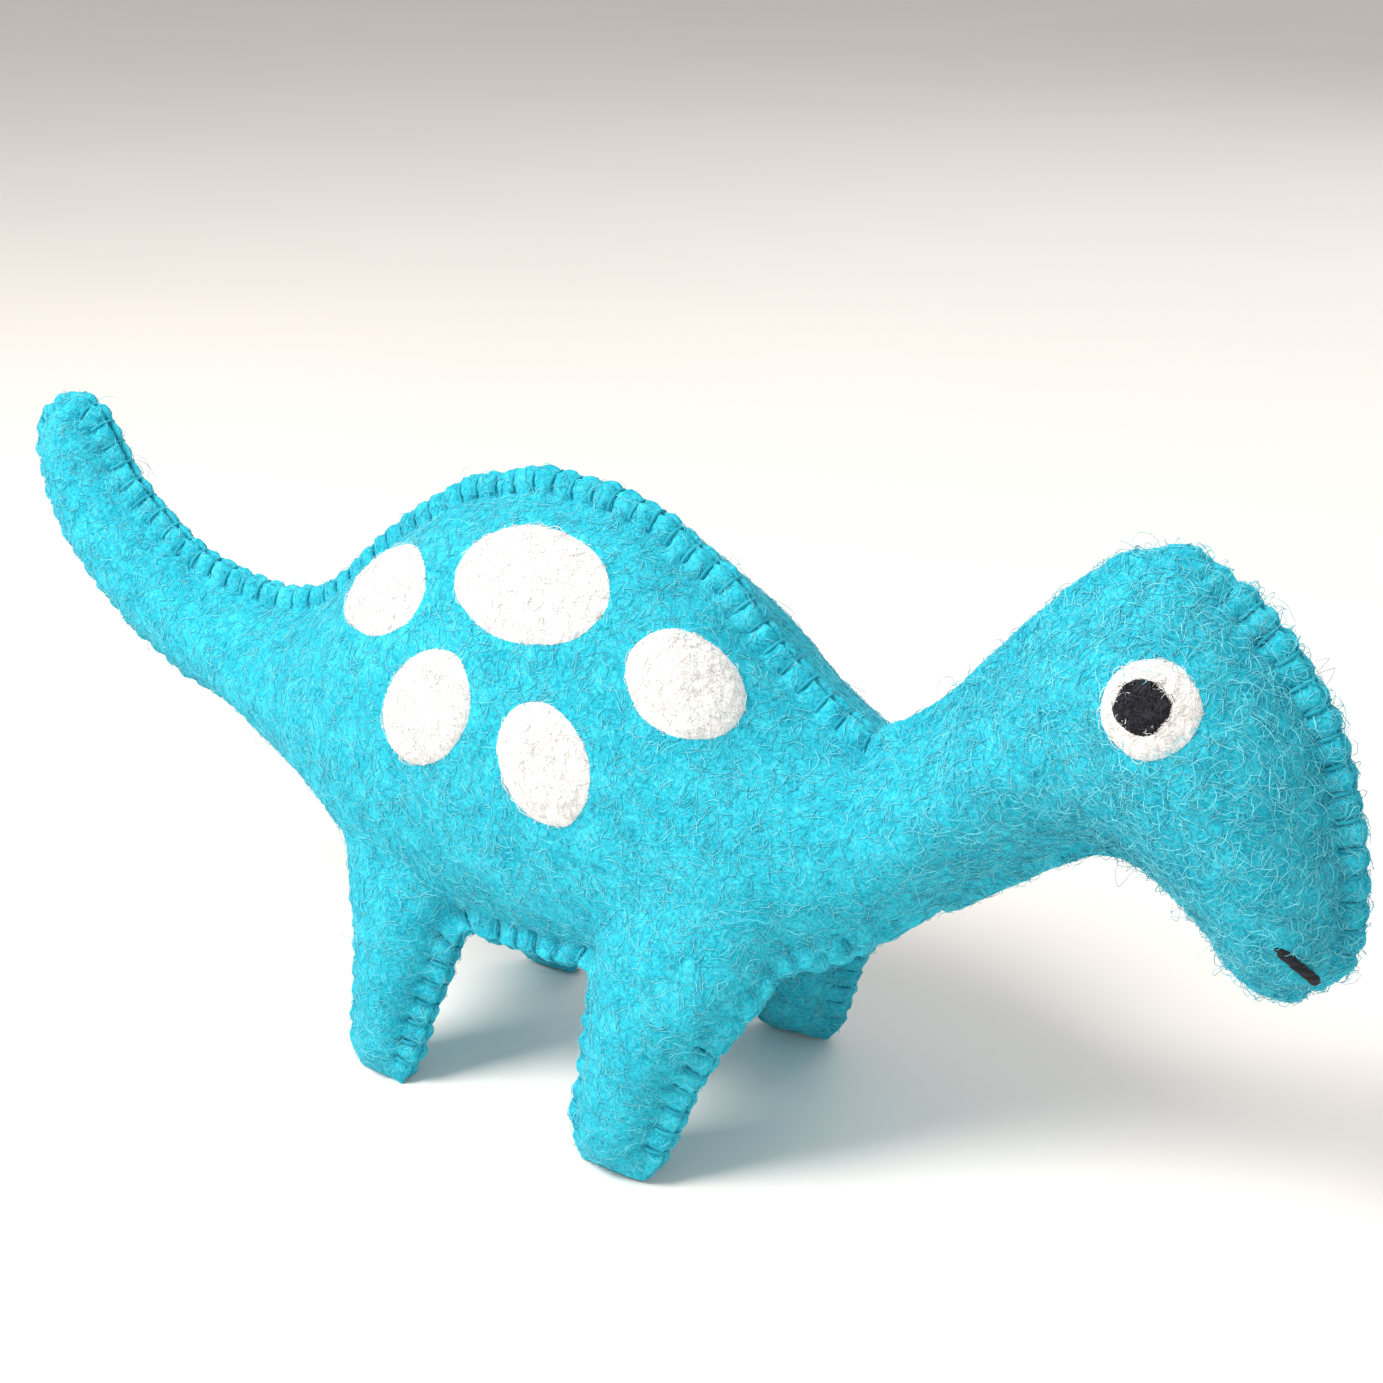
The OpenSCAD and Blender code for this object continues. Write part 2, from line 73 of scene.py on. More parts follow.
Obj = bpy.types.Object
Socket = bpy.types.NodeSocket
Material = bpy.types.Material
MM = 0.001
# How many points are compared with every stitch or cage point at once.
BLOCK = 4000
# The index of refraction of wool and cotton.
WOOL_IOR = 1.54


class Side(Enum):
    """The toy's own right and left; the value is the sign of Y."""

    RIGHT = -1
    LEFT = 1

    @property
    def word(self) -> str:
        """The side's name, as the pieces use it."""
        return self.name.lower()


class Slot(Enum):
    """The record's material slots."""

    FELT = "turquoise_felt"
    FILLING = "wool_filling"
    WHITE = "white_felt"
    BLACK = "black_felt"
    YARN = "black_yarn"
    THREAD = "turquoise_thread"


# ---------------------------------------------------------------- small tools


def linear(hex_colour: str) -> tuple[float, float, float, float]:
    """Turns an sRGB hex colour into linear light.

    Args:
        hex_colour: six hex digits after a hash.

    Returns:
        Red, green, blue and an alpha of one.
    """
    channels = [int(hex_colour[i : i + 2], 16) / 255 for i in (1, 3, 5)]
    light = [c / 12.92 if c <= 0.04045 else ((c + 0.055) / 1.055) ** 2.4 for c in channels]
    return (*light, 1.0)


def add_node(
    tree: bpy.types.NodeTree, kind: str, inputs: dict | None = None, **settings: object
) -> bpy.types.Node:
    """Adds one node with its settings, values and links.

    Args:
        tree: the tree it goes into.
        kind: the node's type name.
        inputs: for each input socket, by name or number, a value or the socket that feeds it.
        **settings: the node's own properties.

    Returns:
        The new node.
    """
    node = tree.nodes.new(kind)
    for name, value in settings.items():
        setattr(node, name, value)
    for key, value in (inputs or {}).items():
        if isinstance(value, Socket):
            tree.links.new(value, node.inputs[key])
        else:
            node.inputs[key].default_value = value
    return node


def new_object(name: str, mesh: bpy.types.Mesh) -> Obj:
    """Puts a mesh into the scene as an object at the origin."""
    made = bpy.data.objects.new(name, mesh)
    bpy.context.scene.collection.objects.link(made)
    return made


def mesh_from(name: str, points: np.ndarray, faces: list) -> Obj:
    """Makes an object from points and faces, all its normals outwards.

    Args:
        name: the object's name.
        points: one row of x y z for each vertex.
        faces: the vertex numbers round each face.

    Returns:
        The new object.
    """
    mesh = bpy.data.meshes.new(name)
    mesh.from_pydata(points.tolist(), [], faces)
    tidy = bmesh.new()
    tidy.from_mesh(mesh)
    bmesh.ops.recalc_face_normals(tidy, faces=tidy.faces)
    tidy.to_mesh(mesh)
    tidy.free()
    return new_object(name, mesh)


def copy_of(name: str, *nodes: Obj) -> Obj:
    """Copies CAD nodes into one new object with its doubles merged.

    Args:
        name: the new object's name.
        *nodes: the CAD nodes, which stay as they are.

    Returns:
        The joined copy.
    """
    merged = bmesh.new()
    for node in nodes:
        merged.from_mesh(node.data)
    bmesh.ops.remove_doubles(merged, verts=merged.verts, dist=0.01 * MM)
    mesh = bpy.data.meshes.new(name)
    merged.to_mesh(mesh)
    merged.free()
    mesh.materials.clear()
    return new_object(name, mesh)


def points_of(obj: Obj) -> np.ndarray:
    """The object's vertices, one row of x y z each."""
    flat = np.zeros(len(obj.data.vertices) * 3, np.float32)
    obj.data.vertices.foreach_get("co", flat)
    return flat.reshape(-1, 3).astype(float)


def normals_of(obj: Obj) -> np.ndarray:
    """The object's vertex normals, one row each."""
    flat = np.zeros(len(obj.data.vertices) * 3, np.float32)
    obj.data.vertex_normals.foreach_get("vector", flat)
    return flat.reshape(-1, 3).astype(float)


def move_to(obj: Obj, points: np.ndarray) -> None:
    """Puts the object's vertices at the points given."""
    obj.data.vertices.foreach_set("co", points.astype(np.float32).ravel())
    obj.data.update()


def apply_modifiers(obj: Obj) -> None:
    """Bakes the object's modifiers into its mesh and removes them."""
    evaluated = obj.evaluated_get(bpy.context.evaluated_depsgraph_get())
    mesh = bpy.data.meshes.new_from_object(evaluated)
    before = obj.data
    obj.modifiers.clear()
    obj.data = mesh
    bpy.data.meshes.remove(before)


def voxel_remesh(obj: Obj, size: float) -> None:
    """Rebuilds the object's surface with even quads of the size given, in metres."""
    remesh = obj.modifiers.new("Even", "REMESH")
    remesh.mode = "VOXEL"
    remesh.voxel_size = size
    apply_modifiers(obj)


def relax(obj: Obj, points: np.ndarray, weight: np.ndarray, rounds: int) -> np.ndarray:
    """Smooths points towards the mean of their neighbours.

    Args:
        obj: the object whose edges join the points.
        points: where its vertices are.
        weight: how far each goes in a round, from 0 to 1.
        rounds: how many rounds.

    Returns:
        The smoothed points.
    """
    ends = np.zeros(len(obj.data.edges) * 2, np.int32)
    obj.data.edges.foreach_get("vertices", ends)
    first, second = ends[0::2], ends[1::2]
    count = len(points)
    degree = np.maximum(np.bincount(ends, minlength=count), 1)
    result = points.copy()
    for _ in range(rounds):
        for axis in range(3):
            line = result[:, axis]
            total = np.bincount(first, line[second], count) + np.bincount(second, line[first], count)
            result[:, axis] = line + weight * (total / degree - line)
    return result


def step(low: float, high: float, value: np.ndarray) -> np.ndarray:
    """Rises smoothly from 0 at low to 1 at high."""
    t = np.clip((value - low) / (high - low), 0, 1)
    return t * t * (3 - 2 * t)


def ripple(points: np.ndarray, size: float, seed: float) -> np.ndarray:
    """Smooth noise at each point.

    Args:
        points: where it is read.
        size: the size of one lump, in metres.
        seed: shifts the pattern.

    Returns:
        A number from about -1 to 1 for each point.
    """
    shift = Vector((seed, seed * 0.7, -seed))
    return np.array([noise.noise(Vector(p) + shift) for p in (points / size).tolist()])


def rest_on_floor(obj: Obj) -> None:
    """Flattens whatever reaches below the floor onto it."""
    points = points_of(obj)
    points[:, 2] = np.maximum(points[:, 2], 0.03 * MM)
    move_to(obj, points)


def tree_of(objects: list[Obj]) -> BVHTree:
    """One search tree over the faces of several objects."""
    points, faces = [], []
    for obj in objects:
        start = len(points)
        points += [v.co.copy() for v in obj.data.vertices]
        faces += [[start + i for i in p.vertices] for p in obj.data.polygons]
    return BVHTree.FromPolygons(points, faces)


def surface_tree(obj: Obj) -> BVHTree:
    """A search tree over the object's faces."""
    return tree_of([obj])


def shade_smooth(obj: Obj) -> None:
    """Shades every face of the object smooth."""
    obj.data.polygons.foreach_set("use_smooth", [True] * len(obj.data.polygons))


def store(obj: Obj, name: str, values: np.ndarray) -> None:
    """Keeps one number for each vertex as an attribute of the mesh."""
    attribute = obj.data.attributes.new(name, "FLOAT", "POINT")
    attribute.data.foreach_set("value", values.astype(np.float32))


def hand_over(
    piece: Obj,
    material: Material,
    nodes: tuple[str, ...] = (),
) -> None:
    """Gives a finished piece its material and body, and hides the CAD nodes that it stands for.

    Args:
        piece: the finished object.
        material: what it is made of.
        nodes: the CAD nodes that it replaces.
    """
    piece.data.materials.clear()
    piece.data.materials.append(material)
    shade_smooth(piece)
    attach(piece, "root")
    if nodes:
        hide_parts(*nodes)
    LOG.info("%s: %d faces", piece.name, len(piece.data.polygons))


# ---------------------------------------------------------------- finishes


def begin(name: str) -> tuple:
    """Starts a node material.

    Args:
        name: the material's name.

    Returns:
        The material, its tree, its main shader and its Object coordinates.
    """
    material = bpy.data.materials.new(name)
    material.use_nodes = True
    tree = material.node_tree
    place = add_node(tree, "ShaderNodeTexCoord").outputs["Object"]
    return material, tree, tree.nodes["Principled BSDF"], place


def colour_ramp(
    tree: bpy.types.NodeTree, shader: bpy.types.Node, factor: Socket, *stops: tuple[float, str]
) -> None:
    """Colours a shader by a ramp.

    Args:
        tree: the material's tree.
        shader: the shader that takes the colour.
        factor: where along the ramp each point is.
        *stops: places and sRGB colours: the first, the last, then any between them.
    """
    ramp = add_node(tree, "ShaderNodeValToRGB", {"Fac": factor})
    marks = ramp.color_ramp.elements
    for mark, (position, colour) in zip(list(marks), stops):
        mark.position = position
        mark.color = linear(colour)
    for position, colour in stops[2:]:
        marks.new(position).color = linear(colour)
    tree.links.new(ramp.outputs["Color"], shader.inputs["Base Color"])


def mix_sum(
    tree: bpy.types.NodeTree, first: Socket, second: Socket, share: float
) -> Socket:
    """Adds two factors, the first by its share and the second by the rest."""
    part = add_node(tree, "ShaderNodeMath", {0: first, 1: share}, operation="MULTIPLY").outputs[0]
    inputs = {0: second, 1: 1 - share, 2: part}
    return add_node(tree, "ShaderNodeMath", inputs, operation="MULTIPLY_ADD").outputs[0]


@dataclass(frozen=True)
class WoolFinish:
    """Wool, felted or loose: matted fibres with mottled colour, no shine and a soft bloom at the edges."""

    name: str
    base: str
    dark: str
    light: str
    # Real fibres are 0.03 mm; the matting is drawn this much coarser, so that it shows.
    fibre: float = 0.35 * MM
    matting: float = 2.2
    mottle: float = 4 * MM
    # The matting's share of the colour; the slow mottling has the rest.
    mat_share: float = 0.72
    stops: tuple[float, float, float] = (0.36, 0.5, 0.64)
    bump: float = 0.25 * MM
    bump_strength: float = 0.55
    roughness: float = 0.92
    specular: float = 0.12
    sheen: float = 0.35
    sheen_roughness: float = 0.45

    def make(self) -> Material:
        """Builds the material.

        Returns:
            A node material that reads Object coordinates.
        """
        material, tree, shader, place = begin(self.name)
        # Matted fibres: fine noise pulled into short streaks.
        matted = {"Vector": place, "Scale": 1 / (self.matting * self.fibre), "Detail": 3.0, "Roughness": 0.62}
        mat = add_node(tree, "ShaderNodeTexNoise", {**matted, "Distortion": 1.6}).outputs["Fac"]
        # Uneven dyeing and density, a few millimetres across.
        clouded = {"Vector": place, "Scale": 1 / self.mottle, "Detail": 2.0, "Roughness": 0.5}
        cloud = add_node(tree, "ShaderNodeTexNoise", clouded).outputs["Fac"]
        low, middle, high = self.stops
        factor = mix_sum(tree, mat, cloud, self.mat_share)
        colour_ramp(tree, shader, factor, (low, self.dark), (high, self.light), (middle, self.base))
        relief = {"Height": mat, "Strength": self.bump_strength, "Distance": self.bump}
        bump = add_node(tree, "ShaderNodeBump", relief)
        tree.links.new(bump.outputs["Normal"], shader.inputs["Normal"])
        shader.inputs["Roughness"].default_value = self.roughness
        shader.inputs["IOR"].default_value = WOOL_IOR
        shader.inputs["Specular IOR Level"].default_value = self.specular
        shader.inputs["Sheen Weight"].default_value = self.sheen
        shader.inputs["Sheen Roughness"].default_value = self.sheen_roughness
        shader.inputs["Sheen Tint"].default_value = linear(self.light)
        return material


@dataclass(frozen=True)
class StrandFinish:
    """Loose strands, thread or yarn: one dye, each strand a little lighter or darker than the next."""

    name: str
    dark: str
    light: str
    fleck: float = 0.9 * MM
    # The strand's own tone has this share of the colour; its flecks have the rest.
    tone_share: float = 0.6
    stops: tuple[float, float] = (0.15, 0.85)
    roughness: float = 0.8
    specular: float = 0.2
    sheen: float = 0.25

    def make(self) -> Material:
        """Builds the material.

        Returns:
            A node material that reads the strands' own tone attribute and Object coordinates.
        """
        material, tree, shader, place = begin(self.name)
        tone = add_node(tree, "ShaderNodeAttribute", attribute_name="tone").outputs["Fac"]
        flecked = {"Vector": place, "Scale": 1 / self.fleck, "Detail": 2.0}
        flecks = add_node(tree, "ShaderNodeTexNoise", flecked).outputs["Fac"]
        factor = mix_sum(tree, tone, flecks, self.tone_share)
        colour_ramp(tree, shader, factor, (self.stops[0], self.dark), (self.stops[1], self.light))
        shader.inputs["Roughness"].default_value = self.roughness
        shader.inputs["IOR"].default_value = WOOL_IOR
        shader.inputs["Specular IOR Level"].default_value = self.specular
        shader.inputs["Sheen Weight"].default_value = self.sheen
        shader.inputs["Sheen Tint"].default_value = linear(self.light)
        return material


@dataclass
class Palette:
    """Every finish of the toy, made once."""

    # Milled wool felt: the dense matting gives a soft, even turquoise with no highlight.
    felt: WoolFinish = WoolFinish("milled_wool_felt_turquoise", "#29b3cb", "#1592ad", "#45cce1")
    # The same wool, raised by wear; its turquoise is painted paler than the felt's, a painted highlight for
    # the light that each fibre catches.
    fibres: StrandFinish = StrandFinish("raised_wool_fibres_turquoise", "#22adc6", "#86e6f3", sheen=0.1)
    thread: StrandFinish = StrandFinish("stranded_cotton_thread_turquoise", "#1590a8", "#2fb2c8")
    # Needle-felted wool: white, with the small pits that the needle leaves.
    white: WoolFinish = WoolFinish(
        "needle_felted_wool_white", "#eceded", "#d9dbdb", "#f7f8f9", mottle=2.4 * MM, bump=0.4 * MM
    )
    white_fibres: StrandFinish = StrandFinish("raised_wool_fibres_white", "#dfe0e0", "#f6f7f8")
    black: WoolFinish = WoolFinish("needle_felted_wool_black", "#1b1c21", "#101115", "#34363e", sheen=0.2)
    black_fibres: StrandFinish = StrandFinish("raised_wool_fibres_black", "#17181c", "#4b4f5a")
    # Spun wool yarn: three plies twisted together, dull black.
    yarn: StrandFinish = StrandFinish("spun_wool_yarn_black", "#111317", "#2f343b", sheen=0.15)
    # Carded wool filling: off-white and lumpy.
    filling: WoolFinish = WoolFinish("carded_wool_filling", "#e9e5da", "#d3cdbf", "#f8f6ef", mottle=6 * MM)
    made: dict = field(default_factory=dict)

    def get(self, finish: WoolFinish | StrandFinish) -> Material:
        """The material of a finish, built the first time that it is asked for."""
        if finish.name not in self.made:
            self.made[finish.name] = finish.make()
        return self.made[finish.name]


# ---------------------------------------------------------------- geometry nodes


class NodeTool:
    """A Geometry Nodes tree with named inputs, run on a host mesh to make a plain mesh."""

    def __init__(self, name: str, knobs: dict[str, float | int]) -> None:
        """Starts the tree with its inputs.

        Args:
            name: the tree's name.
            knobs: each input and its usual value; an int makes a whole-number input.
        """
        self.tree = bpy.data.node_groups.new(name, "GeometryNodeTree")
        face = self.tree.interface
        face.new_socket("Geometry", in_out="OUTPUT", socket_type="NodeSocketGeometry")
        face.new_socket("Geometry", in_out="INPUT", socket_type="NodeSocketGeometry")
        for knob, value in knobs.items():
            kind = "NodeSocketInt" if isinstance(value, int) else "NodeSocketFloat"
            face.new_socket(knob, in_out="INPUT", socket_type=kind).default_value = value
        face.new_socket("Material", in_out="INPUT", socket_type="NodeSocketMaterial")
        self.knob = add_node(self.tree, "NodeGroupInput").outputs

    def node(self, kind: str, inputs: dict | None = None, **settings: object) -> bpy.types.Node:
        """Adds one node to the tree, as add_node does."""
        return add_node(self.tree, kind, inputs, **settings)

    def maths(self, operation: str, *values: object) -> Socket:
        """Adds one sum on numbers and returns its result."""
        return self.node("ShaderNodeMath", dict(enumerate(values)), operation=operation).outputs[0]

    def vectors(self, operation: str, inputs: dict) -> Socket:
        """Adds one sum on vectors and returns its result."""
        return self.node("ShaderNodeVectorMath", inputs, operation=operation).outputs["Vector"]

    def end(self, geometry: Socket) -> None:
        """Ends the tree in Realize Instances and Set Material."""
        real = self.node("GeometryNodeRealizeInstances", {"Geometry": geometry}).outputs[0]
        dressed = self.node("GeometryNodeSetMaterial", {"Geometry": real, "Material": self.knob["Material"]})
        self.node("NodeGroupOutput", {"Geometry": dressed.outputs[0]})

    def attribute(self, name: str, kind: str = "FLOAT") -> Socket:
        """Reads one of the host's named attributes."""
        reader = self.node("GeometryNodeInputNamedAttribute", {"Name": name}, data_type=kind)
        return reader.outputs["Attribute"]

    def wander(self, place: Socket, detail: float, size: Socket) -> Socket:
        """A shift by noise, centred on nothing.

        Args:
            place: where the noise is read.
            detail: how many finer layers it has.
            size: how large the shift is.

        Returns:
            The shift.
        """
        read = {"Vector": place, "Scale": 1.0, "Detail": detail}
        wave = self.node("ShaderNodeTexNoise", read).outputs["Color"]
        centred = self.vectors("SUBTRACT", {0: wave, 1: (0.5, 0.5, 0.5)})
        return self.vectors("SCALE", {0: centred, "Scale": size})

    def skin(
        self,
        strands: Socket,
        tone: Socket,
        sides: int,
        taper: Socket | None = None,
    ) -> Socket:
        """Gives each strand its own tone and a skin.

        Args:
            strands: the curves.
            tone: how light each one is.
            sides: how many sides the skin has.
            taper: the skin's size along the strand, if it changes.

        Returns:
            The strands' mesh.
        """
        stored = {"Geometry": strands, "Name": "tone"}
        toned = self.node("GeometryNodeStoreNamedAttribute", stored, data_type="FLOAT", domain="POINT")
        self.tree.links.new(tone, next(i for i in toned.inputs if i.name == "Value" and i.enabled))
        radius = self.maths("MULTIPLY", self.knob["Thickness"], 0.5)
        ring = self.node("GeometryNodeCurvePrimitiveCircle", {"Resolution": sides, "Radius": radius})
        inputs = {"Curve": toned.outputs[0], "Profile Curve": ring.outputs[0], "Fill Caps": True}
        if taper is not None:
            inputs["Scale"] = taper
        return self.node("GeometryNodeCurveToMesh", inputs).outputs[0]

    def run(self, host: Obj, name: str, material: Material, **values: float) -> Obj:
        """Runs the tree on a host and keeps the result as a plain mesh.

        Args:
            host: the object whose mesh the tree reads; it stays as it is.
            name: the new piece's name.
            material: what the new piece is made of.
            **values: inputs by name, with spaces as underscores.

        Returns:
            The new piece.
        """
        modifier = host.modifiers.new(name, "NODES")
        modifier.node_group = self.tree
        wanted = {key.replace("_", " "): value for key, value in values.items()}
        wanted["Material"] = material
        for item in self.tree.interface.items_tree:
            if item.in_out == "INPUT" and item.name in wanted:
                modifier[item.identifier] = wanted[item.name]
        evaluated = host.evaluated_get(bpy.context.evaluated_depsgraph_get())
        mesh = bpy.data.meshes.new_from_object(evaluated)
        mesh.name = name
        host.modifiers.remove(modifier)
        made = new_object(name, mesh)
        rest_on_floor(made)
        return made


class FibreTool(NodeTool):
    """Scatters fine curling fibres that hug a felted surface and lift off it here and there."""

    def __init__(self) -> None:
        """Builds the tree."""
        super().__init__(
            "Raised fibres",
            {
                "Density": 1.5e6,
                "Length": 3.2 * MM,
                "Thickness": 0.13 * MM,
                "Lift": 0.8 * MM,
                "Curl": 0.7 * MM,
                "Wave": 1.7 * MM,
                "Free ends": 0.3,
                "Points": 6,
                "Seed": 1,
            },
        )
        knob = self.knob
        density = self.maths("MULTIPLY", self.attribute("cover"), knob["Density"])
        scatter = self.node(
            "GeometryNodeDistributePointsOnFaces",
            {"Mesh": knob["Geometry"], "Density": density, "Seed": knob["Seed"]},
        )
        turn = self.random(0.0, 2 * math.pi, 1)
        about = self.node("FunctionNodeAxisAngleToRotation", {"Axis": (0, 0, 1), "Angle": turn}).outputs[0]
        facing = self.node(
            "FunctionNodeRotateRotation", {0: scatter.outputs["Rotation"], 1: about}, rotation_space="LOCAL"
        ).outputs[0]
        line = self.node("GeometryNodeCurvePrimitiveLine", {"Start": (-0.5, 0, 0), "End": (0.5, 0, 0)})
        split = {"Curve": line.outputs[0], "Count": knob["Points"]}
        strand = self.node("GeometryNodeResampleCurve", split).outputs[0]
        size = self.maths("MULTIPLY", self.random(0.45, 1.3, 2), knob["Length"])
        placed = self.node(
            "GeometryNodeInstanceOnPoints",
            {"Points": scatter.outputs["Points"], "Instance": strand, "Rotation": facing, "Scale": size},
        ).outputs[0]
        strands = self.node("GeometryNodeRealizeInstances", {"Geometry": placed}).outputs[0]
        self.end(self.tube(self.lift(self.curl(strands))))

    def random(self, low: float, high: float, salt: int, per: Socket | None = None) -> Socket:
        """A random number, for each point or for each strand.

        Args:
            low: the least that it may be.
            high: the most that it may be.
            salt: keeps it apart from the other random numbers.
            per: what the number belongs to, if not the point itself.

        Returns:
            The number.
        """
        seed = self.maths("ADD", self.knob["Seed"], float(salt * 17))
        inputs = {"Min": low, "Max": high, "Seed": seed}
        node = self.node("FunctionNodeRandomValue", data_type="FLOAT")
        for socket in node.inputs:
            if socket.enabled and socket.name in inputs:
                value = inputs[socket.name]
                if isinstance(value, Socket):
                    self.tree.links.new(value, socket)
                else:
                    socket.default_value = value
            if socket.name == "ID" and per is not None:
                self.tree.links.new(per, socket)
        return next(o for o in node.outputs if o.enabled)

    def strand_index(self) -> Socket:
        """The number of the strand that a point belongs to."""
        return self.node("GeometryNodeCurveOfPoint").outputs["Curve Index"]

    def curl(self, strands: Socket) -> Socket:
        """Bends each strand by its own noise."""
        place = self.node("GeometryNodeInputPosition").outputs[0]
        own = self.random(0.0, 900.0, 3, self.strand_index())
        scaled = self.vectors("SCALE", {0: place, "Scale": self.maths("DIVIDE", 1.0, self.knob["Wave"])})
        shifted = self.vectors("ADD", {0: scaled, 1: own})
        offset = self.wander(shifted, 0.0, self.maths("MULTIPLY", self.knob["Curl"], 4.0))
        return self.node("GeometryNodeSetPosition", {"Geometry": strands, "Offset": offset}).outputs[0]

    def lift(self, strands: Socket) -> Socket:
        """Lays the strands back on the surface, then lifts their middles or one end off it."""
        surface = self.knob["Geometry"]
        nearest = self.node("GeometryNodeProximity", {0: surface}, target_element="FACES").outputs["Position"]
        normal = self.node("GeometryNodeInputNormal").outputs[0]
        sample = self.node("GeometryNodeSampleNearestSurface", {"Mesh": surface}, data_type="FLOAT_VECTOR")
        self.tree.links.new(normal, next(i for i in sample.inputs if i.name == "Value" and i.enabled))
        outward = next(o for o in sample.outputs if o.name == "Value" and o.enabled)
        along = self.node("GeometryNodeSplineParameter").outputs["Factor"]
        loop = self.maths("SINE", self.maths("MULTIPLY", along, math.pi))
        free = self.maths("POWER", along, 1.6)
        draw = self.random(0.0, 1.0, 4, self.strand_index())
        is_free = self.maths("LESS_THAN", draw, self.knob["Free ends"])
        shape = self.maths("MULTIPLY_ADD", self.maths("SUBTRACT", free, loop), is_free, loop)
        own = self.maths("POWER", self.random(0.0, 1.0, 5, self.strand_index()), 2.2)
        height = self.maths("MULTIPLY", self.maths("MULTIPLY", own, shape), self.knob["Lift"])
        height = self.maths("MULTIPLY_ADD", self.knob["Thickness"], 0.4, height)
        raised = self.vectors("SCALE", {0: outward, "Scale": height})
        place = self.vectors("ADD", {0: nearest, 1: raised})
        return self.node("GeometryNodeSetPosition", {"Geometry": strands, "Position": place}).outputs[0]

    def tube(self, strands: Socket) -> Socket:
        """Gives each strand a three-sided skin, thinner at its ends, and its own tone."""
        tone = self.random(0.0, 1.0, 6, self.strand_index())
        along = self.node("GeometryNodeSplineParameter").outputs["Factor"]
        off_middle = self.maths("MULTIPLY_ADD", along, 2.0, -1.0)
        taper = self.maths("MULTIPLY_ADD", self.maths("MULTIPLY", off_middle, off_middle), -0.6, 1.0)
        return self.skin(strands, tone, 3, taper)


class StitchTool(NodeTool):
    """Lays one tight arch of thread over the pinched lips at each stitch."""

    wave: float = 2.6 * MM

    def __init__(self) -> None:
        """Builds the tree."""
        super().__init__(
            "Whip stitches",
            {
                "Reach": 1.95 * MM,
                "Crown": 2.0 * MM,
                "Depth": 1.0 * MM,
                "Thickness": 0.5 * MM,
                "Sag": 0.3 * MM,
            },
        )
        knob = self.knob
        out, run = (self.attribute(name, "FLOAT_VECTOR") for name in ("out", "run"))
        facing = self.node(
            "FunctionNodeAxesToRotation", {0: out, 1: run}, primary_axis="Y", secondary_axis="Z"
        ).outputs[0]
        points = self.node("GeometryNodeMeshToPoints", {"Mesh": knob["Geometry"]}).outputs[0]
        low_arch = self.maths("MULTIPLY_ADD", self.attribute("flat"), -0.75, 1.0)
        size = self.node("ShaderNodeCombineXYZ", {"X": 1.0, "Y": low_arch, "Z": 1.0}).outputs[0]
        placed = self.node(
            "GeometryNodeInstanceOnPoints",
            {"Points": points, "Instance": self.arch(), "Rotation": facing, "Scale": size},
        ).outputs[0]
        strands = self.node("GeometryNodeRealizeInstances", {"Geometry": placed}).outputs[0]
        place = self.node("GeometryNodeInputPosition").outputs[0]
        scaled = self.vectors("SCALE", {0: place, "Scale": 1 / self.wave})
        offset = self.wander(scaled, 1.0, self.maths("MULTIPLY", knob["Sag"], 2.0))
        moved = self.node("GeometryNodeSetPosition", {"Geometry": strands, "Offset": offset}).outputs[0]
        index = self.node("GeometryNodeCurveOfPoint").outputs["Curve Index"]
        self.end(self.skin(moved, self.maths("FRACT", self.maths("MULTIPLY", index, 0.37)), 7))

    def arch(self) -> Socket:
        """One stitch: up through a lip, over the crown and down through the other."""
        low = self.maths("MULTIPLY", self.knob["Depth"], -1.0)
        left = self.maths("MULTIPLY", self.knob["Reach"], -1.0)
        wide = self.maths("MULTIPLY", self.knob["Reach"], 1.1)
        wide_left = self.maths("MULTIPLY", wide, -1.0)
        crown = self.knob["Crown"]
        corners = ((left, low), (wide_left, crown), (wide, crown), (self.knob["Reach"], low))
        ends = [self.node("ShaderNodeCombineXYZ", {"X": x, "Y": y}).outputs[0] for x, y in corners]
        places = dict(zip(("Start", "Start Handle", "End Handle", "End"), ends))
        return self.node("GeometryNodeCurvePrimitiveBezierSegment", {"Resolution": 10, **places}).outputs[0]


# ---------------------------------------------------------------- seams


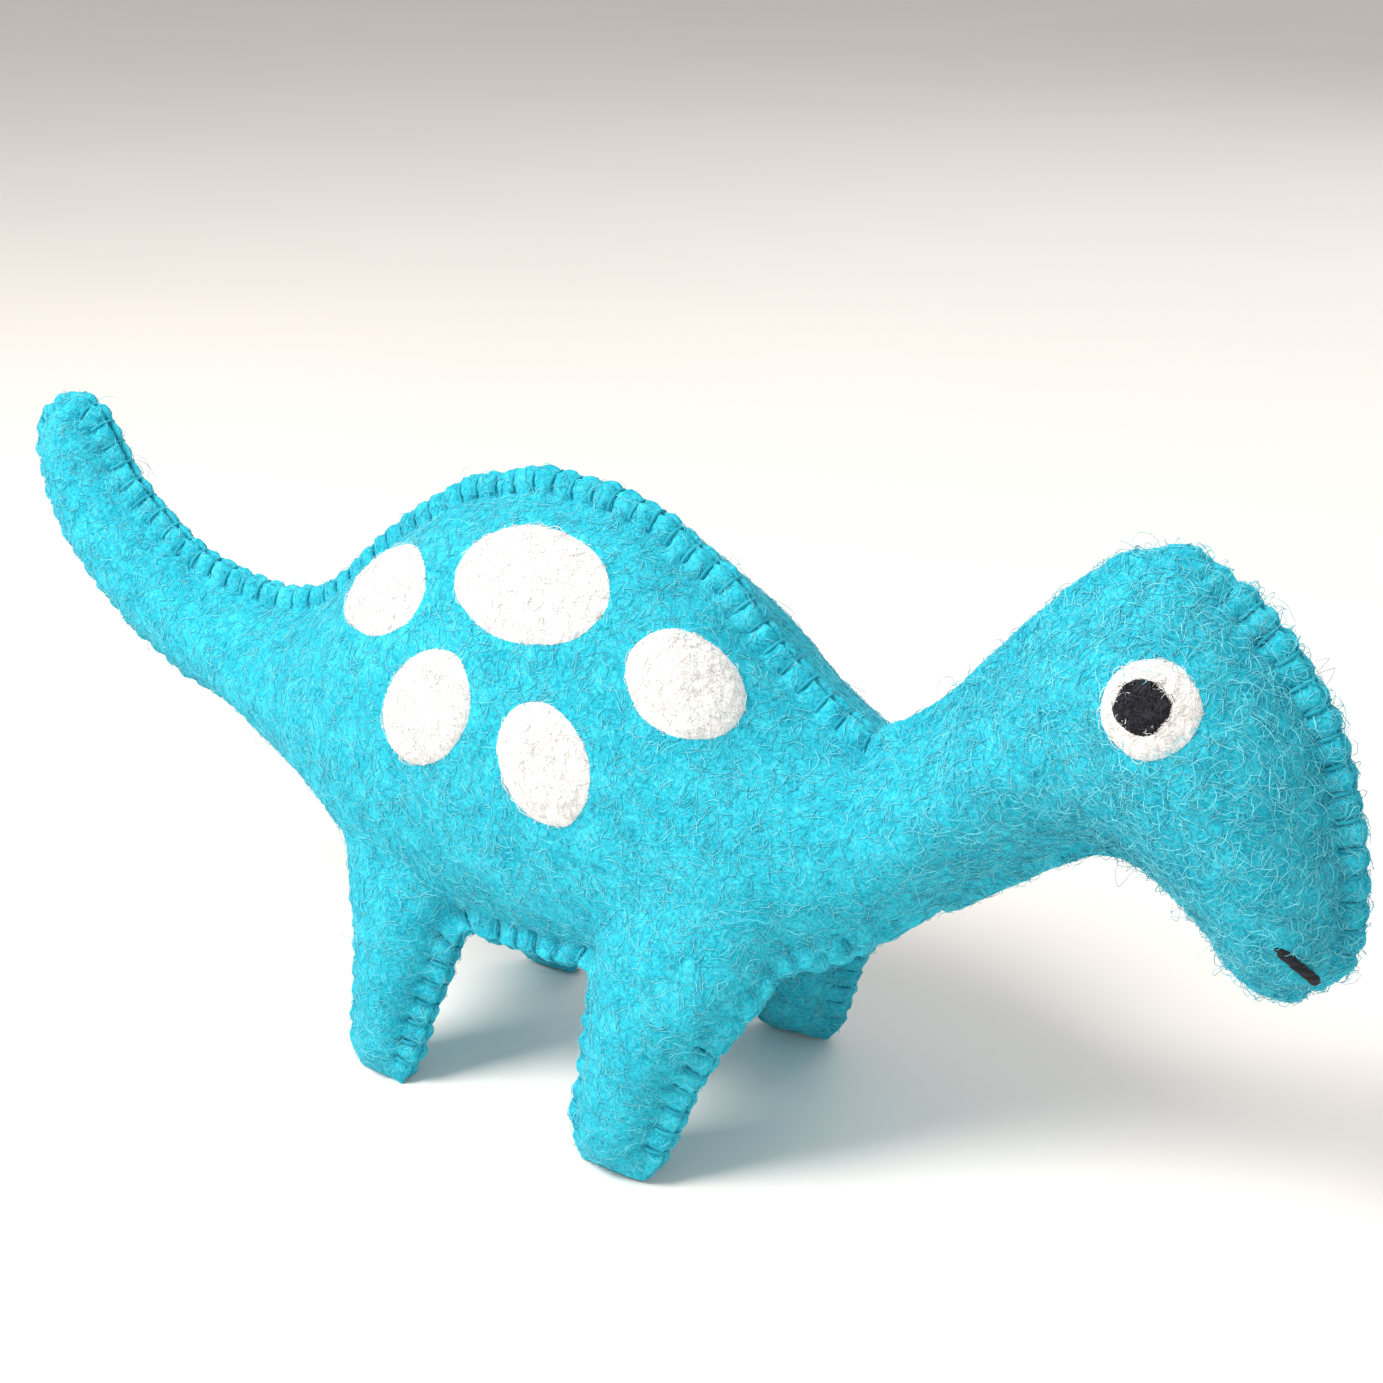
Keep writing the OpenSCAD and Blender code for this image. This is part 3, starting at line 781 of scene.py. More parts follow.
@dataclass
class Seams:
    """Where every stitch sits, read from the CAD thread: its middle and its directions."""

    nodes: dict
    rows: tuple[str, ...] = (
        "thread_back_and_face",
        "thread_throat",
        "thread_under_tail",
        "thread_underside_right",
        "thread_underside_left",
    )
    # A half ring's centroid stands this part of its radius from its centre.
    centroid_part: float = 2 / math.pi
    radius: float = 2.95 * MM
    stitches: dict = field(default_factory=dict)
    # On the nape and under the throat the lips were steamed flat, and hardly show.
    nape: tuple[float, float] = (0.043, 0.091)
    throat_from: float = 0.054
    throat_top: float = 0.0585
    # The throat's line falls towards the snout from here, by this much for each metre.
    jaw_from: float = 0.075
    jaw_fall: float = 0.3
    snout: tuple[float, float] = (0.099, 0.103)
    fade: float = 7 * MM
    middle_half: float = 9 * MM
    # The part of a stitch's height that goes where the seam is flat.
    flattened: float = 0.75
    # The lips are felt for from above, a little to each side of the seam.
    probe_above: float = 4.5 * MM
    probe_reach: float = 8 * MM
    probe_aside: float = 0.8 * MM
    # The lips' crown stands this far above the stitch's middle before the thread draws it in, and after.
    open_crown: float = 1.75 * MM
    drawn_crown: float = 1.15 * MM
    # Where the lips lie flat the thread is drawn down into the felt.
    flat_sink: float = 0.5 * MM

    def flatness(self, points: np.ndarray) -> np.ndarray:
        """How flat the seam is near each point.

        Args:
            points: rows of x y z.

        Returns:
            0 where the lips stand up, 1 where they lie flat.
        """
        along, height = points[:, 0], points[:, 2]
        lower = step(0.0, self.fade, along - self.throat_from)
        jaw = self.throat_top - self.jaw_fall * np.maximum(0.0, along - self.jaw_from)
        lower *= 1 - step(0.0, self.fade, height - jaw)
        upper = step(0.0, self.fade, along - self.nape[0])
        upper *= 1 - step(0.0, self.fade, along - self.nape[1] + self.fade)
        middle = np.abs(points[:, 1]) < self.middle_half
        return np.maximum(upper, lower * (1 - step(*self.snout, along))) * middle

    def read(self) -> None:
        """Finds the frames of every stitch in every row."""
        for row in self.rows:
            thread = copy_of("thread_copy", self.nodes[row])
            self.stitches[row] = [self.frame(part) for part in self.loose_parts(thread)]
            bpy.data.meshes.remove(thread.data)
            LOG.info("%s: %d stitches", row, len(self.stitches[row]))

    @staticmethod
    def loose_parts(obj: Obj) -> list[np.ndarray]:
        """Splits an object's points into those of its separate solids."""
        shape = bmesh.new()
        shape.from_mesh(obj.data)
        left = set(shape.verts)
        parts = []
        for start in shape.verts:
            if start not in left:
                continue
            left.discard(start)
            queue = [start]
            part = []
            while queue:
                vert = queue.pop()
                part.append(tuple(vert.co))
                for edge in vert.link_edges:
                    other = edge.other_vert(vert)
                    if other in left:
                        left.discard(other)
                        queue.append(other)
            parts.append(np.array(part))
        shape.free()
        return parts

    def frame(self, part: np.ndarray) -> np.ndarray:
        """Works out one stitch's frame from the shape of its half ring.

        Args:
            part: the half ring's points.

        Returns:
            Rows for its centre, outward, running and sideways directions.
        """
        centroid = part.mean(0)
        _, axes = np.linalg.eigh(np.cov((part - centroid).T))
        run, out = axes[:, 0], axes[:, 1]
        height = (part - centroid) @ out
        if height.max() > -height.min():
            out = -out
        centre = centroid - out * self.centroid_part * self.radius
        return np.array([centre, out, run, np.cross(out, run)])

    def settle_all(self, felts: list[Obj], crown: float) -> None:
        """Lays every stitch on the lips, and drops any that meet none.

        Args:
            felts: the panels and the gusset.
            crown: how far the lips stand above a stitch's middle.
        """
        trees = [surface_tree(felt) for felt in felts]
        for row in self.rows:
            settled = [self.settle(frame, trees, crown) for frame in self.stitches[row]]
            kept = [frame for frame in settled if frame is not None]
            LOG.info("%s: %d of %d stitches meet their lips", row, len(kept), len(settled))
            self.stitches[row] = kept

    def settle(self, frame: np.ndarray, trees: list[BVHTree], crown: float) -> np.ndarray | None:
        """Moves a stitch so that its arch rests on the lips under it.

        Args:
            frame: the stitch's centre, outward, running and sideways directions.
            trees: search trees of the felt pieces.
            crown: how far the lips stand above the stitch's middle.

        Returns:
            The frame with its centre moved, or None where there is no lip.
        """
        centre, out, _, across = frame
        crowns = []
        for shift in (-self.probe_aside, self.probe_aside):
            start = Vector(centre + out * self.probe_above + across * shift)
            hits = [tree.ray_cast(start, -Vector(out), self.probe_reach)[3] for tree in trees]
            depths = [depth for depth in hits if depth is not None]
            crowns += [self.probe_above - min(depths)] if depths else []
        if not crowns:
            return None
        flat = float(self.flatness(centre[None])[0])
        moved = frame.copy()
        drop = crown * (1 - self.flattened * flat) + self.flat_sink * flat
        moved[0] = centre + out * (float(np.mean(crowns)) - drop)
        return moved

    def all(self) -> np.ndarray:
        """The frames of all the stitches, one block each."""
        return np.array([frame for row in self.rows for frame in self.stitches[row]])

    def nearest(self, points: np.ndarray) -> tuple[np.ndarray, np.ndarray]:
        """The stitch nearest to each point.

        Args:
            points: rows of x y z.

        Returns:
            The number of the nearest stitch and the distance to its middle.
        """
        centres = self.all()[:, 0]
        number = np.zeros(len(points), int)
        distance = np.zeros(len(points))
        for start in range(0, len(points), BLOCK):
            part = slice(start, start + BLOCK)
            gaps = np.linalg.norm(points[part, None] - centres[None], axis=2)
            number[part] = gaps.argmin(1)
            distance[part] = gaps.min(1)
        return number, distance


# ---------------------------------------------------------------- stuffing pressure


@dataclass
class Stuffing:
    """The firm wads inside, and the swell that their pressure gives to the felt."""

    nodes: dict
    palette: Palette
    wads: tuple[str, ...] = (
        "stuffing_tail",
        "stuffing_body",
        "stuffing_neck_and_head",
        "stuffing_leg_front_right",
        "stuffing_leg_front_left",
        "stuffing_leg_rear_right",
        "stuffing_leg_rear_left",
    )
    felt: float = 2.2 * MM
    clearance: float = 0.3 * MM
    cage_size: float = 3.5 * MM
    cage_inset: float = 0.8
    pressure: float = 4.0
    stiffness: float = 12.0
    frames: int = 20
    # The skin is held this near to a seam, and free this much farther out.
    held_near: float = 3.5 * MM
    held_fade: float = 3 * MM
    wad_grid: float = 2.2 * MM
    fill: float = 0.95
    most_swell: float = 1.6 * MM
    spread: float = 3.2 * MM
    cage_points: np.ndarray | None = None
    shift: np.ndarray | None = None

    def cage(self) -> Obj:
        """One closed form of all the wads, a little smaller than the outside of the felt."""
        form = copy_of("cage", *(self.nodes[name] for name in self.wads))
        move_to(form, points_of(form) + normals_of(form) * (self.felt + self.clearance) * self.cage_inset)
        voxel_remesh(form, self.cage_size)
        move_to(form, relax(form, points_of(form), np.full(len(form.data.vertices), 0.5), 3))
        return form

    def press(self, seams: Seams) -> None:
        """Blows the cage up like a stuffed skin, held at the seams, and keeps how far each point moved."""
        form = self.cage()
        start = points_of(form)
        _, distance = seams.nearest(start)
        held = form.vertex_groups.new(name="held")
        for number, gap in enumerate(distance):
            free = min(1.0, max(0.0, (gap - self.held_near) / self.held_fade))
            held.add([number], float(1 - free), "REPLACE")
        cloth = form.modifiers.new("Pressure", "CLOTH")
        cloth.settings.quality = 6
        cloth.settings.use_pressure = True
        cloth.settings.uniform_pressure_force = self.pressure
        cloth.settings.effector_weights.gravity = 0
        cloth.settings.vertex_group_mass = "held"
        cloth.settings.tension_stiffness = self.stiffness
        cloth.settings.compression_stiffness = self.stiffness
        scene = bpy.context.scene
        for frame_number in range(1, self.frames + 1):
            scene.frame_set(frame_number)
        apply_modifiers(form)
        scene.frame_set(1)
        shift = points_of(form) - start
        length = np.linalg.norm(shift, axis=1)
        capped = shift * np.minimum(1, self.most_swell / np.maximum(length, 1e-9))[:, None]
        self.cage_points = start
        self.shift = capped
        LOG.info("stuffing pressure: mean swell %.2f mm", np.linalg.norm(capped, axis=1).mean() / MM)
        bpy.data.meshes.remove(form.data)

    def swell(self, points: np.ndarray) -> np.ndarray:
        """How far the pressure moves each point.

        Args:
            points: rows of x y z.

        Returns:
            One row of shift for each.
        """
        if self.shift is None:
            return np.zeros_like(points)
        moved = np.zeros_like(points)
        for start in range(0, len(points), BLOCK):
            part = slice(start, start + BLOCK)
            gaps = ((points[part, None] - self.cage_points[None]) ** 2).sum(2)
            weight = np.exp(-gaps / (2 * self.spread**2)) + 1e-12
            moved[part] = (weight @ self.shift) / weight.sum(1)[:, None]
        return moved

    def build(self) -> None:
        """Makes the wads themselves, lumpy and a little smaller than the space inside the felt."""
        for number, name in enumerate(self.wads):
            wad = copy_of(name.replace("stuffing", "wool_wad"), self.nodes[name])
            voxel_remesh(wad, self.wad_grid)
            points = relax(wad, points_of(wad), np.full(len(wad.data.vertices), 0.5), 4)
            lumps = ripple(points, 7 * MM, 3.0 + number)
            move_to(wad, points - normals_of(wad) * (0.25 + 0.25 * lumps)[:, None] * MM)
            hand_over(wad, self.palette.get(self.palette.filling), (name,))


# ---------------------------------------------------------------- felt


@dataclass
class FeltPanel:
    """One cut piece of felt: its sheet, its pinched and stitched lips, and the fibres raised on it."""

    node: Obj
    name: str
    seams: Seams
    stuffing: Stuffing
    palette: Palette
    grid: float = 0.57 * MM
    pinch_in: float = 0.5 * MM
    pinch_down: float = 0.4 * MM
    bulge: float = 0.32 * MM
    pit_depth: float = 0.72 * MM
    # The thread enters this far to each side of the seam and below the stitch's middle.
    hole_aside: float = 2.4 * MM
    hole_below: float = 1.0 * MM
    hole_radius: float = 0.8 * MM
    hole_along: float = 0.6 * MM
    # How far from a stitch its pull is felt, and how far along the seam it holds and lets go.
    reach: tuple[float, float] = (4.5 * MM, 6 * MM)
    tight_along: float = 0.62 * MM
    loose_along: float = 1.0 * MM
    # Where the pull sets in: up the lip's root and top, and out to its side; then where the lip bulges.
    lip_root: tuple[float, float] = (-1.9 * MM, -0.5 * MM)
    lip_top: tuple[float, float] = (-0.2 * MM, 1.6 * MM)
    lip_side: tuple[float, float] = (0.5 * MM, 1.9 * MM)
    bulge_up: tuple[float, float] = (0.0, 1.2 * MM)
    bulge_side: tuple[float, float] = (0.3 * MM, 1.0 * MM)
    # Where the seam lies flat: the lips that go down, and how far the body's rise spreads.
    flat_up: tuple[float, float] = (-1.6 * MM, 0.6 * MM)
    flat_side: tuple[float, float] = (2.6 * MM, 4.2 * MM)
    flat_spread: float = 5.5 * MM
    aside_spread: float = 5 * MM
    # The felt is relaxed from this far off a seam, and fully this far off.
    calm: tuple[float, float] = (4.5 * MM, 9 * MM)
    # A vertex is outside when it is this far off the filling, and above the sole.
    outside_from: float = 0.6 * MM
    sole: float = 0.8 * MM
    lump_size: float = 11 * MM
    grain_size: float = 1.3 * MM
    # How hard each stitch was pulled: the least, and how much more it may be.
    pull: tuple[float, float] = (0.55, 0.8)
    lump: float = 0.3 * MM
    grain: float = 0.07 * MM
    body_fill: float = 1.5 * MM
    foot_height: float = 8 * MM
    foot_rounds: int = 12
    body_rounds: int = 46
    lip_rounds: int = 4
    dimples: tuple = ()
    piece: Obj | None = None

    def cut(self) -> None:
        """Cuts the panel to shape, with plain lips, and lets the stuffing swell it."""
        piece = copy_of(self.name, self.node)
        voxel_remesh(piece, self.grid)
        points = points_of(piece)
        _, distance = self.seams.nearest(points)
        points = relax(piece, points, 0.5 * step(*self.calm, distance), self.body_rounds)
        foot = 1 - step(2 * MM, self.foot_height, points[:, 2])
        points = relax(piece, points, 0.5 * foot, self.foot_rounds)
        points[:, 2] -= foot * points[:, 2].min()
        points = relax(piece, points, np.full(len(points), 0.5), self.lip_rounds)
        move_to(piece, points + self.stuffing.swell(points))
        self.piece = piece

    def sew(self) -> None:
        """Draws the lips in along the settled stitches and gives the felt its unevenness."""
        piece = self.piece
        points = self.draw_in(points_of(piece))
        move_to(piece, points)
        points = points + normals_of(piece) * self.unevenness(points)[:, None]
        for place, depth, radius in self.dimples:
            gap = np.linalg.norm(points - np.array(place), axis=1)
            points -= normals_of(piece) * (depth * np.exp(-((gap / radius) ** 2)))[:, None]
        move_to(piece, points)
        rest_on_floor(piece)
        material = self.palette.get(self.palette.felt)
        hand_over(piece, material, (self.node.name,))

    def draw_in(self, points: np.ndarray) -> np.ndarray:
        """Pulls the lips in under each stitch, lets them bulge between, and sinks the thread's holes.

        Args:
            points: the panel's vertices.

        Returns:
            The same vertices, drawn in.
        """
        number, distance = self.seams.nearest(points)
        frames = self.seams.all()[number]
        away = points - frames[:, 0]
        up = (away * frames[:, 1]).sum(1)
        along = (away * frames[:, 2]).sum(1)
        across = (away * frames[:, 3]).sum(1)
        width = np.abs(across)
        sideways = frames[:, 3] * np.sign(across)[:, None]
        low, spread = self.pull
        strength = low + spread * np.random.default_rng(5).random(len(self.seams.all()))[number]
        near = 1 - step(*self.reach, distance)
        tight = np.exp(-((along / self.tight_along) ** 2)) * strength * near
        loose = (1 - np.exp(-((along / self.loose_along) ** 2))) * near
        inwards = tight * step(*self.lip_root, up) * step(*self.lip_side, width) * self.pinch_in
        down = tight * step(*self.lip_top, up) * self.pinch_down
        swollen = loose * step(*self.bulge_up, up) * step(*self.bulge_side, width) * self.bulge
        hole_gap = (width - self.hole_aside) ** 2 + (up + self.hole_below) ** 2
        hole = np.exp(-(hole_gap / self.hole_radius**2))
        pit = hole * np.exp(-((along / self.hole_along) ** 2)) * near * self.pit_depth
        sunk = down + 0.3 * pit - 0.35 * swollen
        moved = sideways * (swollen - inwards - pit)[:, None] - frames[:, 1] * sunk[:, None]
        flat = self.seams.flatness(frames[:, 0])
        settled = self.flatten(up, width, distance)
        aside = self.body_fill * 0.25 * np.exp(-((distance / self.aside_spread) ** 2)) * flat
        return points + moved * (1 - 0.8 * flat)[:, None] + frames[:, 1] * (settled * flat + aside)[:, None]

    def flatten(self, up: np.ndarray, width: np.ndarray, distance: np.ndarray) -> np.ndarray:
        """How far the felt rises to meet its own flattened lips.

        Args:
            up: each vertex's height over the middle of its stitch.
            width: its distance from the seam's middle.
            distance: its distance from the stitch.

        Returns:
            The rise along the seam's outward direction: the body comes up and the lips go down.
        """
        lips = step(*self.flat_up, up) * (1 - step(*self.flat_side, width))
        press = -np.maximum(0.0, up - 0.4 * MM) * 0.75
        fill = self.body_fill * np.exp(-((distance / self.flat_spread) ** 2))
        return lips * press + (1 - lips) * fill + lips * fill * 0.35

    def unevenness(self, points: np.ndarray) -> np.ndarray:
        """The felt's slow lumps and fine grain, in metres along the normal."""
        slow = ripple(points, self.lump_size, 2.0)
        fine = ripple(points, self.grain_size, 9.0)
        return self.lump * slow * 0.7 + self.grain * fine

    def outside(self) -> np.ndarray:
        """1 for each vertex on the panel's open outside, 0 on its inside and between the lips."""
        wads = tree_of([self.stuffing.nodes[name] for name in self.stuffing.wads])
        points = points_of(self.piece)
        normals = normals_of(self.piece)
        nearest = np.array([tuple(wads.find_nearest(p)[0]) for p in points.tolist()])
        away = ((points - nearest) * normals).sum(1)
        facing_seam = (np.abs(points[:, 1]) < 0.5 * MM) & (np.abs(normals[:, 1]) > 0.8)
        return ((away > self.outside_from) & ~facing_seam & (points[:, 2] > self.sole)).astype(float)


@dataclass(frozen=True)
class Zone:
    """One stretch along the toy, and how its fibres stand."""

    name: str
    start: float
    end: float
    density: float = 1.2e6
    length: float = 2.1 * MM
    lift: float = 0.4 * MM
    thickness: float = 0.1 * MM
    points: int = 5
    strays: float = 0.025e6
    stray_lift: float = 2.5 * MM


@dataclass
class Fuzz:
    """The fibres raised on the felt, in zones along the toy: matted on the body, looser on the head."""

    tool: FibreTool
    palette: Palette
    patches: BVHTree
    zones: tuple[Zone, ...] = (
        Zone("tail", -0.2, -0.055),
        Zone("rump", -0.055, -0.02),
        Zone("side", -0.02, 0.02),
        Zone("shoulder", 0.02, 0.055),
        Zone("neck", 0.055, 0.078, 1.8e6, 2.5 * MM, 0.7 * MM, 0.1 * MM, 6, 0.04e6),
        Zone("head", 0.078, 0.2, 2.0e6, 2.5 * MM, 1.1 * MM, 0.11 * MM, 6, 0.06e6, 3.6 * MM),
    )
    # Nothing is raised under a felted patch, and the handled lips of the seams are a little barer.
    patch_margin: float = 0.4 * MM
    seam_cover: float = 0.75
    seam_near: float = 1.5 * MM
    seam_far: float = 4.0 * MM
    stray_length: float = 6.5 * MM
    stray_thickness: float = 0.08 * MM

    def cover(self, panel: FeltPanel) -> np.ndarray:
        """How thickly each of the panel's vertices is covered.

        Args:
            panel: the finished panel.

        Returns:
            From 0, bare, to 1.
        """
        points = points_of(panel.piece)
        _, gap = panel.seams.nearest(points)
        seam = self.seam_cover + (1 - self.seam_cover) * step(self.seam_near, self.seam_far, gap)
        margin = self.patch_margin
        bare = np.array([self.patches.find_nearest(p, margin)[0] is not None for p in points.tolist()])
        return panel.outside() * seam * ~bare

    def raise_on(self, panel: FeltPanel, word: str) -> None:
        """Covers one panel, zone by zone.

        Args:
            panel: the finished panel.
            word: its name in the pieces' names.
        """
        cover = self.cover(panel)
        along = points_of(panel.piece)[:, 0]
        host = bpy.data.objects.new("host", panel.piece.data.copy())
        bpy.context.scene.collection.objects.link(host)
        # The fibres' paler turquoise is a painted highlight, not a lighter dye.
        material = self.palette.get(self.palette.fibres)
        for number, zone in enumerate(self.zones):
            inside = ((along >= zone.start) & (along < zone.end)) * cover
            if not inside.any():
                continue
            if "cover" in host.data.attributes:
                host.data.attributes.remove(host.data.attributes["cover"])
            store(host, "cover", inside)
            fibres = self.tool.run(
                host,
                f"fibres_{zone.name}_{word}",
                material,
                Density=zone.density,
                Length=zone.length,
                Thickness=zone.thickness,
                Lift=zone.lift,
                Points=zone.points,
                Seed=11 + number,
            )
            self.keep(fibres, material)
            strays = self.tool.run(
                host,
                f"stray_hairs_{zone.name}_{word}",
                material,
                Density=zone.strays,
                Length=self.stray_length,
                Thickness=self.stray_thickness,
                Lift=zone.stray_lift,
                Curl=1.6 * MM,
                Wave=3.5 * MM,
                Free_ends=0.6,
                Points=14,
                Seed=41 + number,
            )
            self.keep(strays, material)
        bpy.data.meshes.remove(host.data)

    @staticmethod
    def keep(fibres: Obj, material: Material) -> None:
        """Hands over one zone's fibres, or drops the piece where no fibre fell on it."""
        if fibres.data.polygons:
            hand_over(fibres, material)
        else:
            bpy.data.meshes.remove(fibres.data)


@dataclass
class SeamThread:
    """The whip stitches, one piece for each row."""

    seams: Seams
    palette: Palette

    def build(self) -> None:
        """Sews every row."""
        tool = StitchTool()
        material = self.palette.get(self.palette.thread)
        for row in self.seams.rows:
            frames = np.array(self.seams.stitches[row])
            host = mesh_from("stitch_marks", frames[:, 0], [])
            for name, column in (("out", 1), ("run", 2)):
                attribute = host.data.attributes.new(name, "FLOAT_VECTOR", "POINT")
                attribute.data.foreach_set("vector", frames[:, column].astype(np.float32).ravel())
            store(host, "flat", self.seams.flatness(frames[:, 0]))
            sewn = tool.run(host, row.replace("thread", "whip_stitches"), material)
            hand_over(sewn, material, (row,))
            bpy.data.meshes.remove(host.data)


# ---------------------------------------------------------------- felted patches


@dataclass
class Patch:
    """A needle-felted oval, domed, pitted by the needle and sunk into the surface under it."""

    node: Obj
    name: str
    surface: BVHTree
    seed: float
    height: float = 1.5 * MM
    sink: float = 0.5 * MM
    pit: float = 0.2 * MM
    pit_size: float = 0.95 * MM
    lump_size: float = 4 * MM
    # The rim is felted this far into the cloth.
    rim_depth: float = 0.15 * MM
    rings: int = 20
    spokes: int = 84
    wobble: float = 0.04
    # The felting draws the patch in by this part.
    drawn: float = 1.0

    def axes(self) -> tuple[np.ndarray, np.ndarray, np.ndarray]:
        """The patch's middle, its long, short and outward directions, and its half sizes.

        Returns:
            The middle, the three directions as rows, and the half length and half width.
        """
        points = points_of(self.node)
        box_middle = points.mean(0)
        _, directions = np.linalg.eigh(np.cov((points - box_middle).T))
        outward, short, long = directions[:, 0], directions[:, 1], directions[:, 2]
        if outward[1] * box_middle[1] < 0:
            outward = -outward
        local = (points - box_middle) @ np.array([long, short]).T
        centre = box_middle + ((local.max(0) + local.min(0)) / 2) @ np.array([long, short])
        return centre, np.array([long, short, outward]), (local.max(0) - local.min(0)) / 2

    def build(self) -> Obj:
        """Makes the patch.

        Returns:
            A closed piece: a domed top and an underside just below the surface.
        """
        centre, (long, short, outward), half = self.axes()
        top, bottom = [], []
        for ring in range(self.rings + 1):
            # Rings crowd towards the edge, where the dome turns down.
            part = math.sin(0.5 * math.pi * ring / self.rings)
            for spoke in range(self.spokes if ring else 1):
                turn = 2 * math.pi * spoke / self.spokes
                cosine, sine = math.cos(turn), math.sin(turn)
                edge = 1 + self.wobble * noise.noise(Vector((cosine * 1.6, sine * 1.6, self.seed)))
                across = half[0] * part * edge * self.drawn * cosine
                along = half[1] * part * edge * self.drawn * sine
                place = Vector(centre + long * across + short * along)
                hit, normal = self.drop(place, Vector(outward))
                dome = (1 - part**2.6) ** 0.6
                shift = Vector((self.seed,) * 3)
                pits = noise.noise(place / self.pit_size + shift)
                slow = noise.noise(place / self.lump_size + shift)
                rise = self.height * (dome * (1 + 0.14 * slow)) + self.pit * 1.6 * pits * dome
                rise -= self.rim_depth
                top.append(hit + normal * rise)
                bottom.append(hit - normal * self.sink)
        points = np.array([tuple(p) for p in top + bottom])
        return mesh_from(self.name, points, self.faces(len(top)))

    def drop(self, place: Vector, outward: Vector) -> tuple[Vector, Vector]:
        """The point of the surface under a place, and a normal blended with the patch's own."""
        hit, normal, _, _ = self.surface.ray_cast(place + outward * 8 * MM, -outward, 30 * MM)
        if hit is None:
            hit, normal, _, _ = self.surface.find_nearest(place)
        return hit, (normal * 0.35 + outward * 0.65).normalized()

    def faces(self, count: int) -> list:
        """The faces of both skins and the rim that joins them.

        Args:
            count: how many points each skin has.

        Returns:
            The vertex numbers round each face.
        """

        def at(ring: int, spoke: int) -> int:
            """The number of a point on the top skin."""
            return 0 if ring == 0 else 1 + (ring - 1) * self.spokes + spoke % self.spokes

        made = []
        for spoke in range(self.spokes):
            made.append([0, at(1, spoke), at(1, spoke + 1)])
            made.append([count, count + at(1, spoke + 1), count + at(1, spoke)])
            for ring in range(1, self.rings):
                quad = [at(ring, spoke), at(ring + 1, spoke), at(ring + 1, spoke + 1), at(ring, spoke + 1)]
                made.append(quad)
                made.append([count + v for v in reversed(quad)])
            rim = [at(self.rings, spoke), at(self.rings, spoke + 1)]
            made.append([rim[1], rim[0], count + rim[0], count + rim[1]])
        return made


@dataclass
class Markings:
    """The five spots, the eye and the pupil on each side."""

    nodes: dict
    palette: Palette
    tool: FibreTool
    spots: tuple[str, ...] = ("spot_rump", "spot_hump", "spot_hip", "spot_flank", "spot_shoulder")

    def build(self, side: Side, felt: Obj) -> None:
        """Felts the patches onto one side panel.

        Args:
            side: which side.
            felt: that side's finished panel.
        """
        surface = surface_tree(felt)
        for number, spot in enumerate(self.spots):
            name = f"{spot}_{side.word}"
            self.place(Patch(self.nodes[name], f"felted_{name}", surface, 3.1 * number), name, Slot.WHITE)
        eye_name, pupil_name = f"eye_white_{side.word}", f"pupil_{side.word}"
        eye_patch = Patch(self.nodes[eye_name], f"felted_{eye_name}", surface, 21.0, 1.6 * MM)
        eye_patch.wobble, eye_patch.drawn = 0.05, 0.96
        eye = self.place(eye_patch, eye_name, Slot.WHITE, surface_tree(self.nodes[pupil_name]))
        pupil = Patch(self.nodes[pupil_name], f"felted_{pupil_name}", surface_tree(eye), 27.0, 0.75 * MM)
        pupil.wobble, pupil.sink = 0.08, 0.3 * MM
        self.place(pupil, pupil_name, Slot.BLACK)

    def place(self, patch: Patch, node: str, slot: Slot, bare: BVHTree | None = None) -> Obj:
        """Makes one patch and its own fibres.

        Args:
            patch: the patch to make.
            node: the CAD node that it replaces.
            slot: white or black felt.
            bare: a form that covers part of the patch, where no fibres are raised.

        Returns:
            The patch's piece.
        """
        white = slot is Slot.WHITE
        finish = self.palette.white if white else self.palette.black
        strand = self.palette.get(self.palette.white_fibres if white else self.palette.black_fibres)
        piece = patch.build()
        outward = Vector(patch.axes()[1][2])
        host = bpy.data.objects.new("host", piece.data.copy())
        bpy.context.scene.collection.objects.link(host)
        cover = (normals_of(host) @ np.array(outward) > 0.05).astype(float)
        if bare is not None:
            cover *= [bare.find_nearest(p, 0.5 * MM)[0] is None for p in points_of(host).tolist()]
        store(host, "cover", cover)
        fibres = self.tool.run(
            host,
            piece.name + "_fibres",
            strand,
            Density=2.6e6,
            Length=2.0 * MM,
            Thickness=0.09 * MM,
            Lift=0.5 * MM,
            Curl=0.6 * MM,
            Wave=1.3 * MM,
            Seed=70 + int(patch.seed),
        )
        bpy.data.meshes.remove(host.data)
        hand_over(piece, self.palette.get(finish), (node,))
        hand_over(fibres, strand)
        return piece


